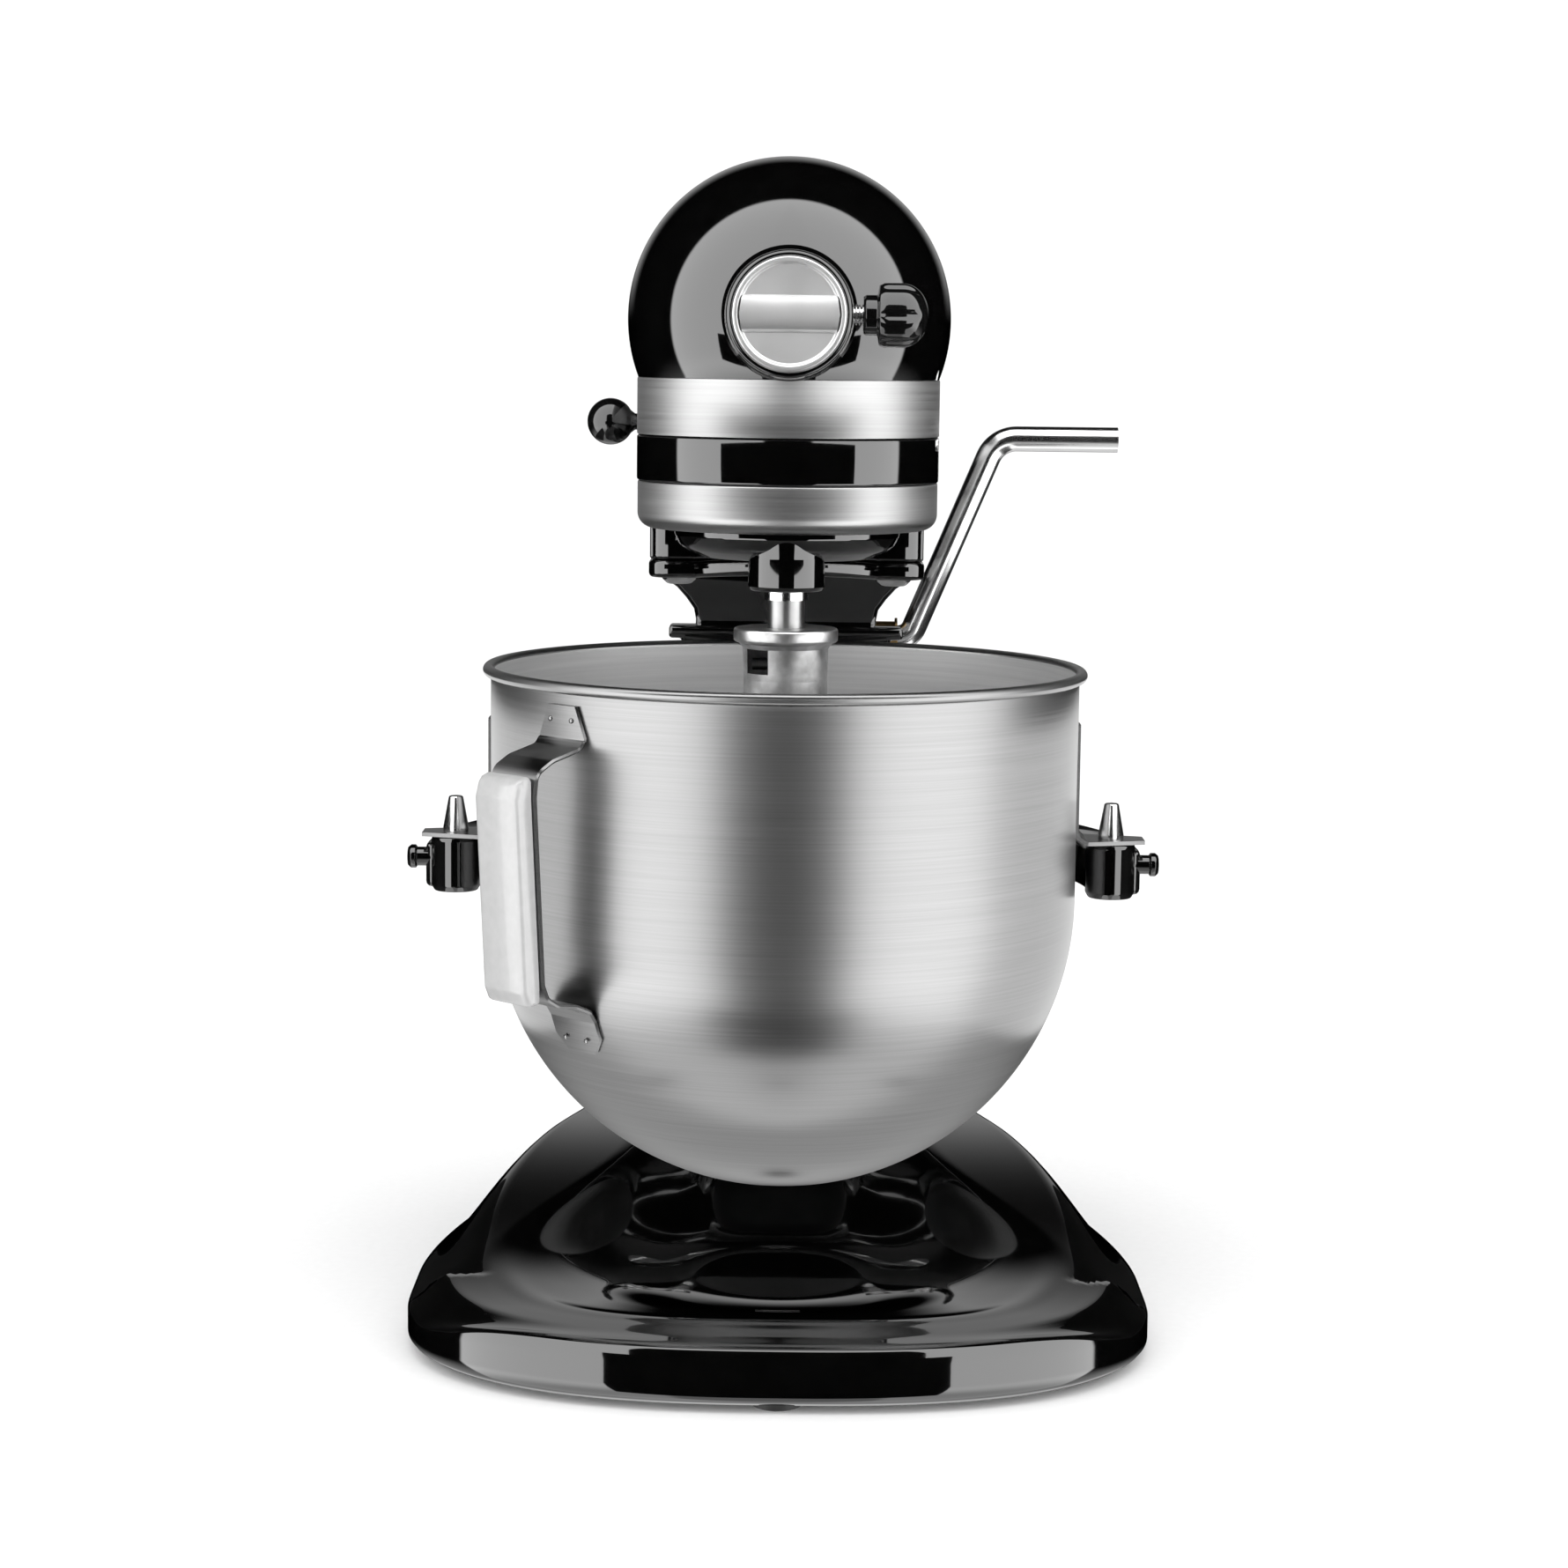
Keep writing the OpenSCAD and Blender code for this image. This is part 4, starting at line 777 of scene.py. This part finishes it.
# Yoke: two curved arms with a boss and a cross pin each, a plate and its slide
PIN_X = 116.2
bm = bmesh.new()
outer_arc = [q for q in arc(0, 6, 127, -3.6, 66.4, 30) if q[1] < 108]
inner_arc = [q for q in arc(0, 0, 108.6, -1, 71, 30) if q[1] < 104]
for sgn in (1, -1):
    arm = outer_arc + [(34, 121), (34, 112)] + inner_arc[::-1]
    arm = [(sgn * x, y) for x, y in arm]
    if sgn < 0:
        arm = arm[::-1]
    slab(bm, arm, 148, 164, 2.0, 3, corners=35)
    lathe(bm, fillet([(4.2, 147), (7.6, 147), (8.75, 149), (8.75, 165), (8.2, 166.5), (4.2, 166.5)],
                     [0, 0.8, 1.5, 0.8, 0.5, 0], 5), "Z", (sgn * PIN_X, 0, 0), 80)
    lathe(bm, fillet([(0, sgn * 133.4), (3.2, sgn * 133.4), (4.2, sgn * 132.2), (4.2, sgn * 130.6),
                      (3.4, sgn * 130), (3.4, sgn * 120)],
                     [0, 0.8, 0.7, 0.4, 0.3, 0], 4), "X", (0, 1.5, 158.6), 48)
plate = [(-45, 233.2), (45, 233.2), (45, 228.2), (40, 228.2), (40, 120), (-40, 120), (-40, 228.2), (-45, 228.2)]
turned_slab(bm, plate, 110.5, 122.1, 1.4)
box(bm, (-16, 121.5, 130), (16, 129.2, 226), 1.0)
finish_mesh("yoke_body", bm, "bowl_lift", "black_enamel", ["yoke_casting"], angle=45)

# Locating pins: straight base, then a long cone with a rounded tip
bm = bmesh.new()
for sgn in (1, -1):
    lathe(bm, fillet([(4.15, 160), (4.15, 168.2), (4.5, 168.3), (4.5, 169.6), (2.5, 180.6), (0, 181)],
                     [0, 0, 0, 1.0, 0.8, 0], 4), "Z", (sgn * PIN_X, 0, 0), 64)
finish_mesh("pin_pair", bm, "bowl_lift", "polished_steel", ["locating_pins"])

# Bowl brackets: a strap on the bowl's side with a foot that sits on each pin's boss
BRACKET_HALF = 13.2
path = fillet([(103.7, 209), (103.7, 171), (106.5, 167.4), (127.8, 167.4)], [0, 5, 2, 0], 6)
bm = bmesh.new()
for sgn in (1, -1):
    sections = []
    for r, z in path:
        end = 1.0
        if z > 203:
            end = 0.72 + 0.28 * math.sqrt(max(0.0, 1 - ((z - 203) / 6) ** 2))
        if r > 119:
            end = 0.35 + 0.65 * math.sqrt(max(0.0, 1 - ((r - 119) / 9.0) ** 2))
        half = BRACKET_HALF * end * (1 if r < 105 else 0.84)
        row = []
        for k in range(11):
            y = half * (k / 5 - 1)
            x = r - (BOWL_R - math.sqrt(BOWL_R ** 2 - y * y)) * (1 if r < 105 else 0)
            row.append((x, y, z))
        sections.append(row)
    upper, lower = [], []
    for i, row in enumerate(sections):
        q0, q1 = path[max(i - 1, 0)], path[min(i + 1, len(path) - 1)]
        t = Vector((q1[0] - q0[0], q1[1] - q0[1])).normalized()
        nrm = Vector((-t.y, t.x))
        for side, face in ((STRAP_THICK, upper), (-STRAP_THICK, lower)):
            face.append([Vector((sgn * (x + nrm.x * side), y, z + nrm.y * side)) for x, y, z in row])
    skin(bm, [u + v[::-1] for u, v in zip(upper, lower)], cap_start=True, cap_end=True)
finish_mesh("bracket_pair", bm, "bowl_lift", "bowl_steel", ["bowl_brackets"])

# Domed screws under the head's flange
bm = bmesh.new()
for x, y in ((-39.3, 60), (39.3, 60), (-36, 112), (36, 112)):
    lathe(bm, fillet([(0, 252.4), (4.6, 252.8), (6.6, 254.6), (6.9, 256.2), (6.9, 256.95), (3.5, 256.95)],
                     [0, 2, 2, 0.6, 0.2, 0], 5), "Z", (x, y, 0), 64)
finish_mesh("flange_screws", bm, "frame", "polished_steel", ["head_screws"])

# ---------------------------------------------------------------- finishes of the CAD nodes

slots = {s["node"]: s["material_slot"] for s in frame["record"]["subparts"]}
for node, obj in frame["nodes"].items():
    obj.data.materials.clear()
    obj.data.materials.append(finish[slots[node]])

# ---------------------------------------------------------------- floor, light, camera


def stage_material():
    """White paper for the eye; mirrors look through it into the painted studio."""
    mat, tree, shader = new_material("paper")
    speck = noise(tree, 300, 2)
    tree.links.new(tinted(tree, speck, g(0.90), g(0.92)), shader.inputs["Base Color"])
    shader.inputs["Roughness"].default_value = 0.9
    shader.inputs["Specular IOR Level"].default_value = 0.1
    path = tree.nodes.new("ShaderNodeLightPath")
    clear = tree.nodes.new("ShaderNodeBsdfTransparent")
    mix = tree.nodes.new("ShaderNodeMixShader")
    tree.links.new(path.outputs["Is Glossy Ray"], mix.inputs["Fac"])
    tree.links.new(shader.outputs["BSDF"], mix.inputs[1])
    tree.links.new(clear.outputs["BSDF"], mix.inputs[2])
    tree.links.new(mix.outputs["Shader"], tree.nodes["Material Output"].inputs["Surface"])
    return mat


def staged(name, rows, material):
    """Open sheet through rows of points in metres, which belongs to the stage."""
    bm = bmesh.new()
    skin(bm, [[Vector(p) for p in row] for row in rows], closed=False)
    mesh = bpy.data.meshes.new(name)
    bm.to_mesh(mesh)
    bm.free()
    for poly in mesh.polygons:
        poly.use_smooth = True
    sheet = bpy.data.objects.new(name, mesh)
    scene.collection.objects.link(sheet)
    sheet.data.materials.append(material)
    sheet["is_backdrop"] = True
    return sheet


# Floor that curves up into a wall behind the object
sweep = fillet([(-6.0, 0.0), (4.0, 0.0), (4.0, 4.0)], [0, 2.0, 0], 24)
staged("floor", [[(-5 + 10 * i / 20, y, z) for i in range(21)] for y, z in sweep], stage_material())

# Cards that only mirrors see: the black ones make the dark stripes on bowl, head band and tray, and the
# bright ones light the bowl's flanks
dark, tree, shader = new_material("card_black")
tree.links.new(tinted(tree, noise(tree, 80, 2), g(0.001), g(0.002)), shader.inputs["Base Color"])
shader.inputs["Roughness"].default_value = 0.9
shader.inputs["Specular IOR Level"].default_value = 0.0
bright, tree, shader = new_material("card_bright")
tree.links.new(tinted(tree, noise(tree, 80, 2), g(0.97), g(1.0)), shader.inputs["Emission Color"])
shader.inputs["Base Color"].default_value = (0, 0, 0, 1)
shader.inputs["Emission Strength"].default_value = 1.8


def mirror_card(name, start, end, z_range, material):
    """Upright card between two plan points, visible to glossy rays only."""
    card = staged(name, [[(x, y, z) for x, y in (start, end)] for z in z_range], material)
    for flag in ("visible_camera", "visible_diffuse", "visible_transmission", "visible_volume_scatter",
                 "visible_shadow"):
        setattr(card, flag, False)
    return card


mirror_card("bowl_card", (-0.115, -0.30), (0.115, -0.30), (-0.12, 0.25), dark)
mirror_card("head_card", (-0.165, -0.16), (0.165, -0.16), (0.250, 0.316), dark)
mirror_card("tray_card", (-0.115, -0.24), (0.115, -0.24), (-0.12, 0.008), dark)
lit = bpy.data.collections.new("lit_by_flank_cards")
lit.objects.link(bpy.data.objects["bowl_body"])
for side, sign in (("left", -1), ("right", 1)):
    card = mirror_card(side + "_flank_card", (sign * 0.205, -0.09), (sign * 0.175, 0.26), (0.02, 0.20),
                       bright)
    card.light_linking.receiver_collection = lit

world = bpy.data.worlds.new("studio")
scene.world = world
world.use_nodes = True
tree = world.node_tree
tree.nodes.clear()
output = tree.nodes.new("ShaderNodeOutputWorld")
coords = tree.nodes.new("ShaderNodeTexCoord")
split = tree.nodes.new("ShaderNodeSeparateXYZ")
tree.links.new(coords.outputs["Generated"], split.inputs["Vector"])


def math_node(kind, a, b=None):
    """World math node of one or two inputs, each a number or another node's output."""
    node = tree.nodes.new("ShaderNodeMath")
    node.operation = kind
    for i, v in enumerate((a, b)):
        if v is None:
            continue
        if isinstance(v, (int, float)):
            node.inputs[i].default_value = v
        else:
            tree.links.new(v, node.inputs[i])
    return node.outputs[0]


# Studio that mirrors see: a bright tent over the front half with a narrow slot straight ahead, a dim rear,
# and light from below
across = math_node("ABSOLUTE", split.outputs["X"])
ahead = math_node("MULTIPLY", split.outputs["Y"], -1.0)
azimuth = math_node("ARCTAN2", across, ahead)
height = math_node("ARCSINE", split.outputs["Z"])


def rise(value, low, high):
    """Smooth 0 to 1 step of a node value between two limits; a falling step when low is above high."""
    node = tree.nodes.new("ShaderNodeMapRange")
    node.interpolation_type = "SMOOTHSTEP"
    for socket, v in (("From Min", low), ("From Max", high)):
        if isinstance(v, (int, float)):
            node.inputs[socket].default_value = v
        else:
            tree.links.new(v, node.inputs[socket])
    tree.links.new(value, node.inputs["Value"])
    return node.outputs["Result"]


gap = math_node("SUBTRACT", math_node("MULTIPLY", rise(height, 0.72, 0.52), 0.38), 0.06)
beside_gap = rise(math_node("SUBTRACT", azimuth, gap), -0.03, 0.03)
in_front = rise(ahead, -0.07, -0.02)
above = rise(height, -0.85, -0.42)
tent = math_node("MULTIPLY", math_node("MULTIPLY", beside_gap, in_front), 4.4)
tent = math_node("MULTIPLY", tent, math_node("ADD", math_node("MULTIPLY", above, 0.75), 0.25))
rear = math_node("MULTIPLY", rise(split.outputs["Y"], 0.80, 0.97), rise(height, 0.0, 0.14))
sky = math_node("MULTIPLY", rear, 0.42)
ahead_fill = math_node("MULTIPLY", rise(azimuth, 0.20, 0.55), math_node("MULTIPLY", in_front, 0.10))
below = math_node("MULTIPLY", rise(height, -0.30, -0.75), 1.15)
seen = tree.nodes.new("ShaderNodeBackground")
total = math_node("ADD", math_node("ADD", tent, below), math_node("ADD", sky, ahead_fill))
tree.links.new(total, seen.inputs["Strength"])
plain = tree.nodes.new("ShaderNodeBackground")
plain.inputs["Color"].default_value = (1, 1, 1, 1)
plain.inputs["Strength"].default_value = 1.14
mix = tree.nodes.new("ShaderNodeMixShader")
light_path = tree.nodes.new("ShaderNodeLightPath")
tree.links.new(light_path.outputs["Is Glossy Ray"], mix.inputs["Fac"])
tree.links.new(plain.outputs["Background"], mix.inputs[1])
tree.links.new(seen.outputs["Background"], mix.inputs[2])
tree.links.new(mix.outputs["Shader"], output.inputs["Surface"])


def panel(name, place, target, width, height, radiance):
    """Rectangular softbox of even brightness, hidden from mirrors, which see the painted studio instead."""
    data = bpy.data.lights.new(name, "AREA")
    data.shape = "RECTANGLE"
    data.size = width
    data.size_y = height
    data.energy = radiance * width * height * pi
    lamp = bpy.data.objects.new(name, data)
    lamp.location = place
    lamp.rotation_euler = (Vector(target) - Vector(place)).to_track_quat("-Z", "Y").to_euler()
    lamp.visible_camera = False
    lamp.visible_glossy = False
    scene.collection.objects.link(lamp)
    return lamp


panel("left_box", (-1.50, -0.48, 0.75), (0, 0, 0.30), 1.25, 1.7, 1.0)
panel("right_box", (1.50, -0.48, 0.75), (0, 0, 0.30), 1.25, 1.7, 1.0)
panel("top_box", (0, -0.55, 1.75), (0, 0, 0.30), 1.9, 1.0, 1.0)

camera_data = bpy.data.cameras.new("camera")
camera_data.sensor_width = 36
camera_data.lens = 78.39
camera_data.clip_end = 50
camera = bpy.data.objects.new("camera", camera_data)
camera.matrix_world = (Matrix.Translation((0, -1.2, 0.3384)) @ Matrix.Rotation(pi / 2 - 0.1262, 4, "X")
                       @ Matrix.Rotation(0.0118, 4, "Z"))
scene.collection.objects.link(camera)
scene.camera = camera
scene.view_settings.view_transform = "Standard"
scene.view_settings.look = "None"

low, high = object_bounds()
